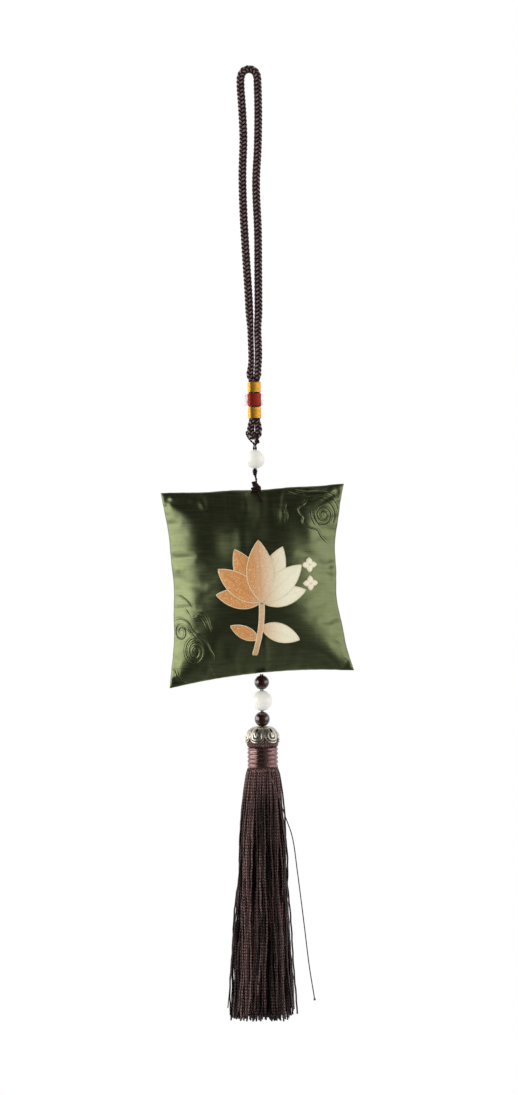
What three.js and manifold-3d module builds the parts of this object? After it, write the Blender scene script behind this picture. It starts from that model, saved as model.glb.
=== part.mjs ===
// Hanging satin charm: a braided loop with thread wraps, a stuffed satin pillow, beads and a silk tassel.
// Millimetres, +Z up, +X to the right, the front faces -Y.
// The origin is the inside top of the hanging loop.

import * as THREE from "three";
import { mergeVertices } from "three/addons/utils/BufferGeometryUtils.js";
import Module from "manifold-3d";

const wasm = await Module();
wasm.setup();

// Clearances
const gap = 0.3; // between pieces that rest on each other
const beadGap = 0.2; // between beads that turn on one string
const overrun = 2; // how far a cut runs past its wall
const weldGap = 0.0001; // points closer than this are one point

// Hanging cord: one open length of round braid, its two ends butted inside the wrap
const cordD = 3.4;
const cordSides = 8;
const ringsPerSpan = 2;
const cordRoute = [
  [1.6, 0, -136.2],
  [1.6, 0, -144.2],
  [2.2, 0, -146.6],
  [2.5, 0, -149],
  [1.85, 0, -150.6],
  [0.3, 0, -151.2],
  [-1.25, 0, -150.6],
  [-1.9, 0, -149],
  [-1.6, 0, -146.6],
  [-1, 0, -144.2],
  [-1, 0, -136.5],
  [-1, 0, -128.3],
  [-1.5, 0.3, -125.2],
  [-0.9, 0.7, -120],
  [-1.1, 0.2, -108],
  [-1.3, 0, -96],
  [-2.3, 0, -76],
  [-3.1, 0.2, -58],
  [-3.3, 0.3, -42],
  [-2.7, 0.2, -27],
  [-3.1, 0, -14],
  [-3.6, 0, -4.6],
  [-3.35, 0, -1.2],
  [-2.2, 0, 0.9],
  [0, 0, 1.7],
  [2.2, 0, 0.9],
  [3.3, 0, -1.2],
  [3.5, 0, -4.6],
  [3.6, 0, -16],
  [3.2, -0.2, -31],
  [2.3, -0.3, -46],
  [2.8, -0.1, -66],
  [2.7, 0, -84],
  [2.6, -0.1, -104],
  [2.8, -0.7, -119],
  [2.1, -0.3, -125.2],
  [1.6, 0, -128.3],
  [1.6, 0, -135.8],
];

// Wrap: gold, red and gold thread wound over both strands, which it presses together
const wrapX = 0.3;
const wrapDrop = 128.5; // from the hang point to the wrap's top
const goldUpperH = 4.7;
const redH = 5.7;
const goldLowerH = 5.1;
const goldUpperTurns = 5;
const redTurns = 6;
const goldLowerTurns = 5;
const wrapThreadD = 0.4;
const wrapThreadSides = 5;
const wrapStepsPerTurn = 12;
const strandOffset = 1.3; // from the wrap's middle to each strand's middle
const pressedStrandW = 2.4;
const pressedStrandDepth = 3.2;
const pressRun = 3; // height over which a strand becomes round again
const wrapClear = 0.25;

// Thin string: looped through the bight, doubled through the beads
const stringD = 0.6;
const doubleStringW = 1.3;
const stringSides = 6;
const bightRadius = 2.2; // middle line of the cord at the foot of the bight
const bightDrop = 5; // from the wrap's foot to the middle of the bight's curve
const hitchKnotD = 1.9;
const hitchAngles = [48, 80, 112, 144, 180, 216, 248, 280, 312]; // degrees round the ring from its knot
const stopperKnotD = 2.9;
const tieLength = 1.6;
const tieD = 0.8;
const topKnotD = 2.2;
const topKnotTail = 7.2;
const tailSteps = 4;
const tailDriftShare = 0.25; // how far the tail moves sideways as it drops
const tailStartShare = 0.2; // where the tail leaves its knot, of the knot's diameter
const knotSegments = 10;
const knotRings = 7;
const tailClear = 0.75; // from the cloth to the middle of the tail

// Beads
const beadBoreD = 1.9;
const beadSegments = 20;
const beadArcPoints = 8;
const upperPaleD = 8;
const darkUpperD = 6.2;
const lowerPaleD = 8.6;
const darkLowerD = 6.4;

// Pillow, in its own upright frame before it is tilted
const pillowW = 77.4;
const pillowH = 80.3;
const pillowThick = 24;
const pillowX = 0.5;
const pillowTilt = THREE.MathUtils.degToRad(2.4);
const cornerShares = { // of half the width and height
  topLeft: [-0.992, 1.004],
  topRight: [1.003, 0.996],
  bottomRight: [1, -0.959],
  bottomLeft: [-1.013, -1.041],
};
const leftPullDepth = 3.3;
const rightPullDepth = 5.4;
const topPullDepth = 0.3;
const bottomPullDepth = 2.5;
const clothThick = 0.5;
const seamWidth = 1;
const coverCells = 14;
const crownShare = 0.5; // the exponent that rounds the crown towards the seams

// Filling, in two wads with the herb packet between them
const wadCells = 8;
const wadInset = 1.6; // from the seam's inner edge
const wadEdge = 0.5;
const packetW = 34;
const packetH = 28;
const packetThick = 5;
const packetEdge = 1.4;
const packetCells = 4;

// Gold thread work on the front: a blossom with its stem, leaf and bud
const workGap = 0.2;
const lowRaise = 0.35;
const midRaise = 0.55;
const highRaise = 0.75;
const blossomX = 1.4;
const blossomZ = -7.5; // foot of the petals
const petalSteps = 4;
const outerPetalLength = 19;
const outerPetalW = 8.5;
const sidePetalLength = 22.5;
const sidePetalW = 10;
const innerPetalLength = 24.5;
const innerPetalW = 10.5;
const middlePetalLength = 25.5;
const middlePetalW = 11.5;
const petals = [
  { length: outerPetalLength, width: outerPetalW, turn: 78, raise: lowRaise },
  { length: outerPetalLength, width: outerPetalW, turn: -78, raise: lowRaise },
  { length: sidePetalLength, width: sidePetalW, turn: 50, raise: midRaise },
  { length: sidePetalLength, width: sidePetalW, turn: -50, raise: midRaise },
  { length: innerPetalLength, width: innerPetalW, turn: 24, raise: lowRaise },
  { length: innerPetalLength, width: innerPetalW, turn: -24, raise: lowRaise },
  { length: middlePetalLength, width: middlePetalW, turn: 0, raise: highRaise },
];
const petalFootShares = [0.75, 0.3]; // the curve's handle near the foot, across and up
const petalTipShares = [0.5, 0.75]; // the curve's handle near the tip, across and up
const stemLength = 21;
const stemW = 2;
const stemLean = 4;
const leafLength = 17;
const leafW = 8;
const leafTurn = -112;
const leafShare = 0.45; // how far down the stem the leaf grows
const budLength = 13;
const budW = 5.5;
const budTurn = 62;
const budShare = 0.7;
const floretX = 22;
const floretUpperZ = 6.8;
const floretPitch = 7.6;
const floretPetalLength = 3;
const floretPetalW = 2.4;
const floretPetals = 4;
const floretMiddleD = 1.6;

// Tassel cap: a thin metal dome with petals cut in its rim
const capR = 6.7;
const capH = 7;
const capDish = 0.6; // how far its hole lies below its shoulder
const capShoulderR = 3;
const capWall = 0.45;
const capHoleD = 1.9;
const capSegments = 24;
const capPetals = 6;
const capTurn = THREE.MathUtils.degToRad(8); // from the front to the gap between two petals
const capNotchD = 4.2;
const capSlotD = 1;
const capSlotLength = 2.4;
const capSlotRise = 5.2; // from the rim to the middle of a slot
const capCutSides = 8;
const capOutlineShares = [ // radius, and drop below the shoulder, of the cap's radius and height
  [0.73, 0.107],
  [0.91, 0.357],
  [0.985, 0.657],
  [1, 1],
];

// Tassel
const headR = 6.5;
const headSegments = 20;
const neckR = 5.4;
const headDrop = 8.9; // from the cap's shoulder to the binding's top
const headBoreD = 1.9;
const endKnotD = 3;
const endKnotClear = 0.4;
const endKnotDrop = 8.2; // from the cap's shoulder to the knot's middle
const bindingH = 8.7;
const bindingTurns = 6;
const bindingD = 0.85;
const bindingSides = 6;
const bindingStepsPerTurn = 16;
const skirtSliceThick = 1;
const skirtTopR = 6.2;
const skirtSliceR = 6.6;
const skirtSegments = 24;
const skirtLength = 104;
const skirtUnevenness = 5;
const skirtEndW = 27.6;
const skirtEndDepth = 22;
const skirtLean = -1.6;
const strandCount = 300;
const strandD = 0.46;
const strandSides = 3;
const goldenAngle = Math.PI * (3 - Math.sqrt(5));
const unevenStep = 0.754877666; // each strand's step through the lengths, so that neighbours differ

// Heights, worked down from the hang point
const wrapTop = -wrapDrop;
const redTop = wrapTop - goldUpperH;
const goldLowerTop = redTop - redH;
const wrapFoot = goldLowerTop - goldLowerH;
const bightMiddle = wrapFoot - bightDrop;
const bightCordZ = bightMiddle - bightRadius;
const hitchRadius = bightRadius;
const hitchKnotZ = bightCordZ - hitchRadius - hitchKnotD / 2 - gap;
const upperStringTop = hitchKnotZ - hitchKnotD / 2 - gap;
const upperPaleZ = upperStringTop - hitchKnotD / 2 - upperPaleD / 2;
const stopperKnotZ = upperPaleZ - upperPaleD / 2 - beadGap - stopperKnotD / 2;
const tieTop = stopperKnotZ - stopperKnotD / 2 - gap;
const topKnotZ = tieTop - tieLength - gap - topKnotD / 2;
const pillowZ = topKnotZ - topKnotD / 2 - gap - pillowH / 2;

// A route whose points are its rings, so close points give close rings
class RouteCurve extends THREE.CatmullRomCurve3 {
  getUtoTmapping(share) {
    return share;
  }
}

function polygon(halfWidth, halfHeight, sides) {
  const points = [];
  for (let i = 0; i < sides; i++) {
    const angle = (2 * Math.PI * (i + 0.5)) / sides;
    points.push(new THREE.Vector2(halfWidth * Math.cos(angle), halfHeight * Math.sin(angle)));
  }
  return new THREE.Shape(points);
}

function tubeAlong(points, diameter, sides, rings = 1) {
  const curve = new RouteCurve(points, false, "centripetal");
  return new THREE.ExtrudeGeometry(polygon(diameter / 2, diameter / 2, sides), {
    steps: (points.length - 1) * rings,
    bevelEnabled: false,
    extrudePath: curve,
  });
}

// A straight length of string hanging between two heights
function straightString(x, top, foot, width, depth) {
  const string = new THREE.ExtrudeGeometry(polygon(width / 2, depth / 2, stringSides), {
    depth: top - foot,
    bevelEnabled: false,
  });
  return string.translate(x, 0, foot);
}

function knot(x, z, diameter) {
  const ball = new THREE.SphereGeometry(diameter / 2, knotSegments, knotRings);
  return ball.rotateX(Math.PI / 2).translate(x, 0, z);
}

// Closed geometry to a solid that can be joined and cut
function toSolid(geometry) {
  const bare = new THREE.BufferGeometry();
  const source = geometry.index ? geometry.toNonIndexed() : geometry;
  bare.setAttribute("position", source.getAttribute("position"));
  const merged = mergeVertices(bare, weldGap);
  const corners = merged.index.array;
  const kept = [];
  for (let i = 0; i < corners.length; i += 3) {
    const [a, b, c] = corners.subarray(i, i + 3);
    if (a !== b && b !== c && c !== a) kept.push(a, b, c);
  }
  const mesh = new wasm.Mesh({
    numProp: 3,
    vertProperties: Float32Array.from(merged.attributes.position.array),
    triVerts: Uint32Array.from(kept),
  });
  return new wasm.Manifold(mesh);
}

function toGeometry(solid) {
  const mesh = solid.getMesh();
  const geometry = new THREE.BufferGeometry();
  const position = Float32Array.from(mesh.vertProperties);
  geometry.setAttribute("position", new THREE.BufferAttribute(position, 3));
  geometry.setIndex(Array.from(mesh.triVerts));
  return geometry;
}

function joined(geometries) {
  return geometries.map(toSolid).reduce((whole, piece) => whole.add(piece));
}

// Hanging cord

// Inside the wrap each strand is pressed to an oval about its own middle line.
function hangingCord() {
  const points = cordRoute.map((p) => new THREE.Vector3(...p));
  const cord = tubeAlong(points, cordD, cordSides, ringsPerSpan);
  const position = cord.getAttribute("position");
  for (let i = 0; i < position.count; i++) {
    const z = position.getZ(i);
    const above = THREE.MathUtils.smoothstep(-z, -wrapTop - pressRun, -wrapTop);
    const below = 1 - THREE.MathUtils.smoothstep(-z, -wrapFoot, -wrapFoot + pressRun);
    const pressed = above * below;
    const middle = wrapX + Math.sign(position.getX(i) - wrapX) * strandOffset;
    const narrower = 1 - pressed * (1 - pressedStrandW / cordD);
    const flatter = 1 - pressed * (1 - pressedStrandDepth / cordD);
    if (pressed > 0) {
      position.setX(i, middle + (position.getX(i) - middle) * narrower);
      position.setY(i, position.getY(i) * flatter);
    }
  }
  return cord;
}

// Windings

// Points of a winding round a long-round core, whose ends run straight for one thread diameter
function windingPoints(x, top, height, turns, steps, threadD, halfRun, radius) {
  const pitch = (height - threadD) / turns;
  const points = [];
  const count = turns * steps;
  for (let i = 0; i <= count; i++) {
    const angle = (2 * Math.PI * (i + 0.5)) / steps;
    const side = Math.sign(Math.cos(angle)) * halfRun;
    const z = top - threadD / 2 - (pitch * i) / steps;
    points.push(new THREE.Vector3(x + side + radius * Math.cos(angle), radius * Math.sin(angle), z));
  }
  const first = points[0].clone().sub(points[1]).setLength(threadD).add(points[0]);
  const last = points[count].clone().sub(points[count - 1]).setLength(threadD).add(points[count]);
  return [first, ...points, last];
}

function leastGap(points, steps, threadD) {
  let least = Infinity;
  for (let i = 0; i < points.length; i++) {
    for (let j = i + Math.floor(steps / 2); j < points.length; j++) {
      least = Math.min(least, points[i].distanceTo(points[j]));
    }
  }
  return least - threadD;
}

function wrapBand(name, top, height, turns, finish) {
  const radius = pressedStrandDepth / 2 + wrapClear + wrapThreadD / 2;
  const halfRun = strandOffset + pressedStrandW / 2 + wrapClear + wrapThreadD / 2 - radius;
  const points = windingPoints(
    wrapX, top - wrapClear / 2, height - wrapClear, turns, wrapStepsPerTurn, wrapThreadD, halfRun, radius,
  );
  const least = leastGap(points, wrapStepsPerTurn, wrapThreadD);
  console.log(name, "least gap", least.toFixed(2), "mm");
  return piece(name, tubeAlong(points, wrapThreadD, wrapThreadSides), finish);
}

function bindingWinding(x, top) {
  const radius = neckR + gap + bindingD / 2;
  const points = windingPoints(
    x, top, bindingH, bindingTurns, bindingStepsPerTurn, bindingD, 0, radius,
  );
  const least = leastGap(points, bindingStepsPerTurn, bindingD);
  console.log("tassel_binding least gap", least.toFixed(2), "mm");
  return tubeAlong(points, bindingD, bindingSides);
}

// Thin string

function hitchLoop() {
  const points = [new THREE.Vector3(wrapX, 0, hitchKnotZ)];
  for (const degrees of hitchAngles) {
    const angle = THREE.MathUtils.degToRad(degrees);
    points.push(new THREE.Vector3(
      wrapX, -hitchRadius * Math.sin(angle), bightCordZ - hitchRadius * Math.cos(angle),
    ));
  }
  points.push(new THREE.Vector3(wrapX, 0, hitchKnotZ));
  const ring = tubeAlong(points, stringD, stringSides);
  return toGeometry(joined([ring, knot(wrapX, hitchKnotZ, hitchKnotD)]));
}

function topKnot() {
  const drop = topKnotTail / tailSteps;
  const points = [new THREE.Vector3(wrapX, -topKnotD * tailStartShare, topKnotZ)];
  for (let i = 1; i <= tailSteps; i++) {
    const x = wrapX + i * drop * tailDriftShare;
    const z = topKnotZ - i * drop;
    const depth = i === 1 ? 0 : pillowFace(x, z);
    points.push(new THREE.Vector3(x, -Math.max(depth, topKnotD) - tailClear, z));
  }
  const tail = tubeAlong(points, tieD, stringSides);
  return toGeometry(joined([tail, knot(wrapX, topKnotZ, topKnotD)]));
}

// Beads

function bead(x, z, diameter) {
  const radius = diameter / 2;
  const bore = beadBoreD / 2;
  const pole = Math.asin(bore / radius);
  const profile = [];
  for (let i = 0; i <= beadArcPoints; i++) {
    const angle = pole + ((Math.PI - 2 * pole) * i) / beadArcPoints;
    profile.push(new THREE.Vector2(radius * Math.sin(angle), -radius * Math.cos(angle)));
  }
  profile.push(profile[0].clone());
  return new THREE.LatheGeometry(profile, beadSegments).rotateX(Math.PI / 2).translate(x, 0, z);
}

// Pillow

const halfW = pillowW / 2;
const halfH = pillowH / 2;
const crownH = (pillowThick - gap) / 2;

function corner(name) {
  return new THREE.Vector2(cornerShares[name][0] * halfW, cornerShares[name][1] * halfH);
}

// A point of the panel's outline patch, for s and t from -1 to 1, drawn in by an inset
function panelPoint(s, t, inset) {
  const u = (s + 1) / 2;
  const v = (t + 1) / 2;
  const [tl, tr] = [corner("topLeft"), corner("topRight")];
  const [bl, br] = [corner("bottomLeft"), corner("bottomRight")];
  const foot = bl.clone().lerp(br, u);
  foot.y += bottomPullDepth * (1 - s * s);
  const head = tl.clone().lerp(tr, u);
  head.y -= topPullDepth * (1 - s * s);
  const left = bl.clone().lerp(tl, v);
  left.x += leftPullDepth * (1 - t * t);
  const right = br.clone().lerp(tr, v);
  right.x -= rightPullDepth * (1 - t * t);
  const flat = bl.clone().lerp(br, u).lerp(tl.clone().lerp(tr, u), v);
  const point = foot.lerp(head, v).add(left.lerp(right, u)).sub(flat);
  return point.multiplyScalar(1 - inset / halfW);
}

function crown(s, t) {
  return Math.pow(Math.max(0, (1 - s * s) * (1 - t * t)), crownShare);
}

// Depth of the pillow's face in front of its middle plane, at a place in the charm's own frame
function pillowFace(x, z) {
  const dx = x - pillowX;
  const dz = z - pillowZ;
  const s = (dx * Math.cos(pillowTilt) + dz * Math.sin(pillowTilt)) / halfW;
  const t = (dz * Math.cos(pillowTilt) - dx * Math.sin(pillowTilt)) / halfH;
  return gap / 2 + crownH * crown(s, t);
}

// A closed slab over the patch: outer and inner give each point's inset and depth from the middle plane.
// side is -1 in front and +1 behind. Steps close up towards the seams, where the crown is steep.
function patchSlab(cells, side, outer, inner, skipped = 0) {
  const steps = [];
  for (let i = skipped; i <= cells - skipped; i++) steps.push(Math.sin(Math.PI * (i / cells - 0.5)));
  const n = steps.length;
  const position = [];
  for (const layer of [outer, inner]) {
    for (const t of steps) {
      for (const s of steps) {
        const { inset, depth } = layer(s, t);
        const p = panelPoint(s, t, inset);
        position.push(p.x, side * depth, p.y);
      }
    }
  }
  const at = (layer, row, column) => layer * n * n + row * n + column;
  const index = [];
  const quad = (a, b, c, d) => {
    if (side < 0) index.push(a, b, c, a, c, d);
    else index.push(a, c, b, a, d, c);
  };
  for (let r = 0; r < n - 1; r++) {
    for (let c = 0; c < n - 1; c++) {
      quad(at(0, r, c), at(0, r, c + 1), at(0, r + 1, c + 1), at(0, r + 1, c));
      quad(at(1, r, c), at(1, r + 1, c), at(1, r + 1, c + 1), at(1, r, c + 1));
    }
  }
  for (let i = 0; i < n - 1; i++) {
    quad(at(0, 0, i + 1), at(0, 0, i), at(1, 0, i), at(1, 0, i + 1));
    quad(at(0, n - 1, i), at(0, n - 1, i + 1), at(1, n - 1, i + 1), at(1, n - 1, i));
    quad(at(0, i, 0), at(0, i + 1, 0), at(1, i + 1, 0), at(1, i, 0));
    quad(at(0, i + 1, n - 1), at(0, i, n - 1), at(1, i, n - 1), at(1, i + 1, n - 1));
  }
  const slab = new THREE.BufferGeometry();
  slab.setAttribute("position", new THREE.Float32BufferAttribute(position, 3));
  slab.setIndex(index);
  return slab;
}

function cover(side) {
  return patchSlab(
    coverCells,
    side,
    (s, t) => ({ inset: 0, depth: gap / 2 + crownH * crown(s, t) }),
    (s, t) => ({ inset: seamWidth, depth: gap / 2 + (crownH - clothThick) * crown(s, t) }),
  );
}

function wad(side) {
  const inset = seamWidth + wadInset;
  const height = crownH - clothThick - gap - wadEdge;
  const whole = patchSlab(
    wadCells,
    side,
    (s, t) => ({ inset, depth: gap / 2 + wadEdge + height * crown(s, t) }),
    () => ({ inset, depth: gap / 2 }),
  );
  const pocket = new THREE.BoxGeometry(packetW + 2 * gap, packetThick + 2 * gap, packetH + 2 * gap);
  return toGeometry(toSolid(whole).subtract(toSolid(pocket)));
}

// A flat packet, thickest in its middle, with a pressed edge all round
function herbPacket() {
  const packet = new THREE.BoxGeometry(packetW, packetThick, packetH, packetCells, 1, packetCells);
  const position = packet.getAttribute("position");
  for (let i = 0; i < position.count; i++) {
    const s = position.getX(i) / (packetW / 2);
    const t = position.getZ(i) / (packetH / 2);
    const half = packetEdge / 2 + ((packetThick - packetEdge) / 2) * crown(s, t);
    position.setY(i, Math.sign(position.getY(i)) * half);
  }
  return packet;
}

// Gold thread work

// One petal's outline, its foot at the origin and its tip upwards
function petalShape(length, width) {
  const [footX, footZ] = [width * petalFootShares[0], length * petalFootShares[1]];
  const [tipX, tipZ] = [width * petalTipShares[0], length * petalTipShares[1]];
  const shape = new THREE.Shape();
  shape.moveTo(0, 0);
  shape.bezierCurveTo(footX, footZ, tipX, tipZ, 0, length);
  shape.bezierCurveTo(-tipX, tipZ, -footX, footZ, 0, 0);
  return shape;
}

// An upright outline becomes a block that reaches in front of the pillow.
function outlineBlock(shape, degrees, x, z) {
  const block = new THREE.ExtrudeGeometry(shape, {
    depth: pillowThick + overrun,
    bevelEnabled: false,
    curveSegments: petalSteps,
  });
  return block.rotateZ(THREE.MathUtils.degToRad(degrees)).rotateX(Math.PI / 2).translate(x, 0, z);
}

// The part of the raised layer on the pillow's face that lies inside a block
function raised(block, raise) {
  const layer = patchSlab(
    coverCells,
    -1,
    (s, t) => ({ inset: 0, depth: gap / 2 + crownH * crown(s, t) + workGap + raise }),
    (s, t) => ({ inset: 0, depth: gap / 2 + crownH * crown(s, t) + workGap }),
    1,
  );
  return toSolid(layer).intersect(toSolid(block));
}

function goldBlossom() {
  const pieces = petals.map((p) =>
    raised(outlineBlock(petalShape(p.length, p.width), p.turn, blossomX, blossomZ), p.raise),
  );
  return toGeometry(pieces.reduce((whole, piece) => whole.add(piece)));
}

function goldStem() {
  const top = blossomZ - 2 * gap;
  const stem = new THREE.Shape();
  stem.moveTo(-stemW / 2, 0);
  stem.lineTo(stemW / 2, 0);
  stem.quadraticCurveTo(stemW / 2, -stemLength / 2, stemW / 2 - stemLean, -stemLength);
  stem.lineTo(-stemW / 2 - stemLean, -stemLength);
  stem.quadraticCurveTo(-stemW / 2, -stemLength / 2, -stemW / 2, 0);
  const along = (share) => [blossomX - stemLean * share * share, top - stemLength * share];
  const pieces = [
    raised(outlineBlock(stem, 0, blossomX, top), midRaise),
    raised(outlineBlock(petalShape(leafLength, leafW), leafTurn, ...along(leafShare)), lowRaise),
    raised(outlineBlock(petalShape(budLength, budW), budTurn, ...along(budShare)), lowRaise),
  ];
  return toGeometry(pieces.reduce((whole, piece) => whole.add(piece)));
}

function smallFloret(z) {
  const pieces = [];
  const petal = petalShape(floretPetalLength, floretPetalW);
  for (let i = 0; i < floretPetals; i++) {
    pieces.push(raised(outlineBlock(petal, (360 * i) / floretPetals, floretX, z), lowRaise));
  }
  const middle = polygon(floretMiddleD / 2, floretMiddleD / 2, stringSides);
  pieces.push(raised(outlineBlock(middle, 0, floretX, z), midRaise));
  return toGeometry(pieces.reduce((whole, piece) => whole.add(piece)));
}

// Tassel cap

function capProfile() {
  const hole = capHoleD / 2;
  const outer = [new THREE.Vector2(hole, -capDish), new THREE.Vector2(capShoulderR, 0)];
  const inner = [new THREE.Vector2(hole, -capDish - capWall), new THREE.Vector2(capShoulderR, -capWall)];
  for (const [across, down] of capOutlineShares) {
    outer.push(new THREE.Vector2(across * capR, -down * capH));
    const lower = down === 1 ? 0 : capWall / 2;
    inner.push(new THREE.Vector2(across * capR - capWall, -down * capH - lower));
  }
  return [...inner, ...outer.reverse(), inner[0].clone()];
}

function tasselCap() {
  let cap = toSolid(new THREE.LatheGeometry(capProfile(), capSegments));
  for (let i = 0; i < capPetals; i++) {
    const turn = capTurn + (2 * Math.PI * i) / capPetals;
    const notch = new THREE.CylinderGeometry(capNotchD / 2, capNotchD / 2, capR, capCutSides);
    notch.rotateX(Math.PI / 2).translate(0, -capH, capR);
    const slot = new THREE.CylinderGeometry(capSlotD / 2, capSlotD / 2, capR, capCutSides);
    slot.rotateX(Math.PI / 2).scale(1, capSlotLength / capSlotD, 1);
    slot.translate(0, capSlotRise - capH, capR);
    slot.rotateY(Math.PI / capPetals);
    cap = cap.subtract(toSolid(notch.rotateY(turn))).subtract(toSolid(slot.rotateY(turn)));
  }
  return toGeometry(cap).rotateX(Math.PI / 2);
}

// Tassel

// The folded bundle of threads: a dome under the cap, hollow for the end knot, and a neck for the binding
function tasselHead() {
  const bore = headBoreD / 2;
  const cavity = endKnotD / 2 + endKnotClear;
  const inside = (across) => across * capR - capWall - gap;
  const profile = [
    new THREE.Vector2(0, -endKnotDrop - cavity),
    new THREE.Vector2(cavity, -endKnotDrop - cavity),
    new THREE.Vector2(cavity, -endKnotDrop + cavity),
    new THREE.Vector2(bore, -endKnotDrop + cavity + endKnotClear),
    new THREE.Vector2(bore, -capDish - capWall - 2 * gap),
    new THREE.Vector2(capShoulderR, -capWall - 2 * gap),
  ];
  for (const [across, down] of capOutlineShares) {
    profile.push(new THREE.Vector2(inside(across), -down * capH - (down === 1 ? 0 : capWall + gap)));
  }
  profile.push(
    new THREE.Vector2(headR, -capH - 2 * gap),
    new THREE.Vector2(headR, -headDrop + gap),
    new THREE.Vector2(neckR, -headDrop),
    new THREE.Vector2(neckR, -headDrop - bindingH),
    new THREE.Vector2(0, -headDrop - bindingH),
  );
  return new THREE.LatheGeometry(profile.reverse(), headSegments).rotateX(Math.PI / 2);
}

// Even spread over a disc: equal areas outwards, turned by the golden angle each time
function strandFoot(i) {
  const radius = (skirtTopR - strandD) * Math.sqrt((i + 0.5) / strandCount);
  const angle = i * goldenAngle;
  return new THREE.Vector2(radius * Math.cos(angle), radius * Math.sin(angle));
}

// A share from 0 to 1 that jumps about from one strand to the next
function uneven(i) {
  return (i * unevenStep) % 1;
}

function skirtStrand(i) {
  const start = strandFoot(i);
  const spread = new THREE.Vector2(skirtEndW, skirtEndDepth).divideScalar(2 * skirtTopR);
  const length = skirtLength + skirtUnevenness * (uneven(i) - 0.5);
  const reach = length / skirtLength;
  const end = new THREE.Vector2(
    start.x + (start.x * (spread.x - 1) + skirtLean) * reach,
    start.y + start.y * (spread.y - 1) * reach,
  );
  const strand = new THREE.ExtrudeGeometry(polygon(strandD / 2, strandD / 2, strandSides), {
    depth: length,
    bevelEnabled: false,
  });
  const position = strand.getAttribute("position");
  for (let k = 0; k < position.count; k++) {
    const share = position.getZ(k) / length;
    position.setXYZ(
      k,
      position.getX(k) + THREE.MathUtils.lerp(start.x, end.x, share),
      -(position.getY(k) + THREE.MathUtils.lerp(start.y, end.y, share)),
      -position.getZ(k) - skirtSliceThick / 2,
    );
  }
  return strand;
}

function tasselSkirt() {
  const slice = new THREE.CylinderGeometry(
    skirtSliceR, skirtSliceR, skirtSliceThick, skirtSegments,
  );
  let skirt = toSolid(slice.rotateX(Math.PI / 2).translate(0, 0, -skirtSliceThick / 2));
  for (let i = 0; i < strandCount; i++) skirt = skirt.add(toSolid(skirtStrand(i)));
  return toGeometry(skirt);
}

// Finishes
const finishes = {
  braid: { color: 0x2e1d20, roughness: 0.75, metalness: 0 },
  string: { color: 0x3a2422, roughness: 0.75, metalness: 0 },
  goldThread: { color: 0xe8ae45, roughness: 0.4, metalness: 0.1 },
  redThread: { color: 0x8e3017, roughness: 0.45, metalness: 0 },
  paleStone: { color: 0xe9e6d6, roughness: 0.2, metalness: 0 },
  darkBead: { color: 0x25140c, roughness: 0.12, metalness: 0 },
  satin: { color: 0x3c4a28, roughness: 0.38, metalness: 0 },
  fibre: { color: 0xf0eee8, roughness: 0.95, metalness: 0 },
  herb: { color: 0xb9a77a, roughness: 0.9, metalness: 0 },
  goldWork: { color: 0xe2b878, roughness: 0.55, metalness: 0 },
  silver: { color: 0xc9c6bd, roughness: 0.25, metalness: 0.9 },
  silk: { color: 0x3a2019, roughness: 0.45, metalness: 0 },
  bindingSilk: { color: 0x2a1410, roughness: 0.3, metalness: 0 },
};

function piece(name, geometry, finish) {
  geometry.deleteAttribute("normal");
  geometry.deleteAttribute("uv");
  geometry.computeVertexNormals();
  const mesh = new THREE.Mesh(geometry, new THREE.MeshStandardMaterial(finishes[finish]));
  mesh.name = name;
  return mesh;
}

// Assembly

const charm = new THREE.Group();

charm.add(piece("hanging_cord", hangingCord(), "braid"));
charm.add(wrapBand("wrap_gold_upper", wrapTop, goldUpperH, goldUpperTurns, "goldThread"));
charm.add(wrapBand("wrap_red", redTop, redH, redTurns, "redThread"));
charm.add(wrapBand("wrap_gold_lower", goldLowerTop, goldLowerH, goldLowerTurns, "goldThread"));

charm.add(piece("hitch_loop", hitchLoop(), "string"));
const upperStringFoot = stopperKnotZ + stopperKnotD / 2 + gap / 2;
const upperString = straightString(
  wrapX, upperStringTop, upperStringFoot, doubleStringW, stringD,
);
charm.add(piece("upper_string", upperString, "string"));
charm.add(piece("upper_pale_bead", bead(wrapX, upperPaleZ, upperPaleD), "paleStone"));
charm.add(piece("stopper_knot", knot(wrapX, stopperKnotZ, stopperKnotD), "string"));
const sachetTie = straightString(wrapX, tieTop, tieTop - tieLength, tieD, tieD);
charm.add(piece("sachet_tie", sachetTie, "string"));
charm.add(piece("top_knot", topKnot(), "string"));

const pillow = new THREE.Group();
pillow.position.set(pillowX, 0, pillowZ);
pillow.rotation.y = -pillowTilt;
pillow.add(piece("cover_front", cover(-1), "satin"));
pillow.add(piece("cover_back", cover(1), "satin"));
pillow.add(piece("filling_front", wad(-1), "fibre"));
pillow.add(piece("filling_back", wad(1), "fibre"));
pillow.add(piece("herb_packet", herbPacket(), "herb"));
pillow.add(piece("gold_blossom", goldBlossom(), "goldWork"));
pillow.add(piece("gold_stem", goldStem(), "goldWork"));
pillow.add(piece("small_floret_upper", smallFloret(floretUpperZ), "goldWork"));
pillow.add(piece("small_floret_lower", smallFloret(floretUpperZ - floretPitch), "goldWork"));
charm.add(pillow);

// The lower string hangs from the middle of the bottom seam.
const seamMiddle = panelPoint(0, -1, 0);
const lowerX = pillowX + seamMiddle.x * Math.cos(pillowTilt) - seamMiddle.y * Math.sin(pillowTilt);
const seamZ = pillowZ + seamMiddle.x * Math.sin(pillowTilt) + seamMiddle.y * Math.cos(pillowTilt);
const darkUpperZ = seamZ - gap - darkUpperD / 2;
const lowerPaleZ = darkUpperZ - darkUpperD / 2 - beadGap - lowerPaleD / 2;
const darkLowerZ = lowerPaleZ - lowerPaleD / 2 - beadGap - darkLowerD / 2;
const shoulderZ = darkLowerZ - darkLowerD / 2 - gap + capDish;

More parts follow.
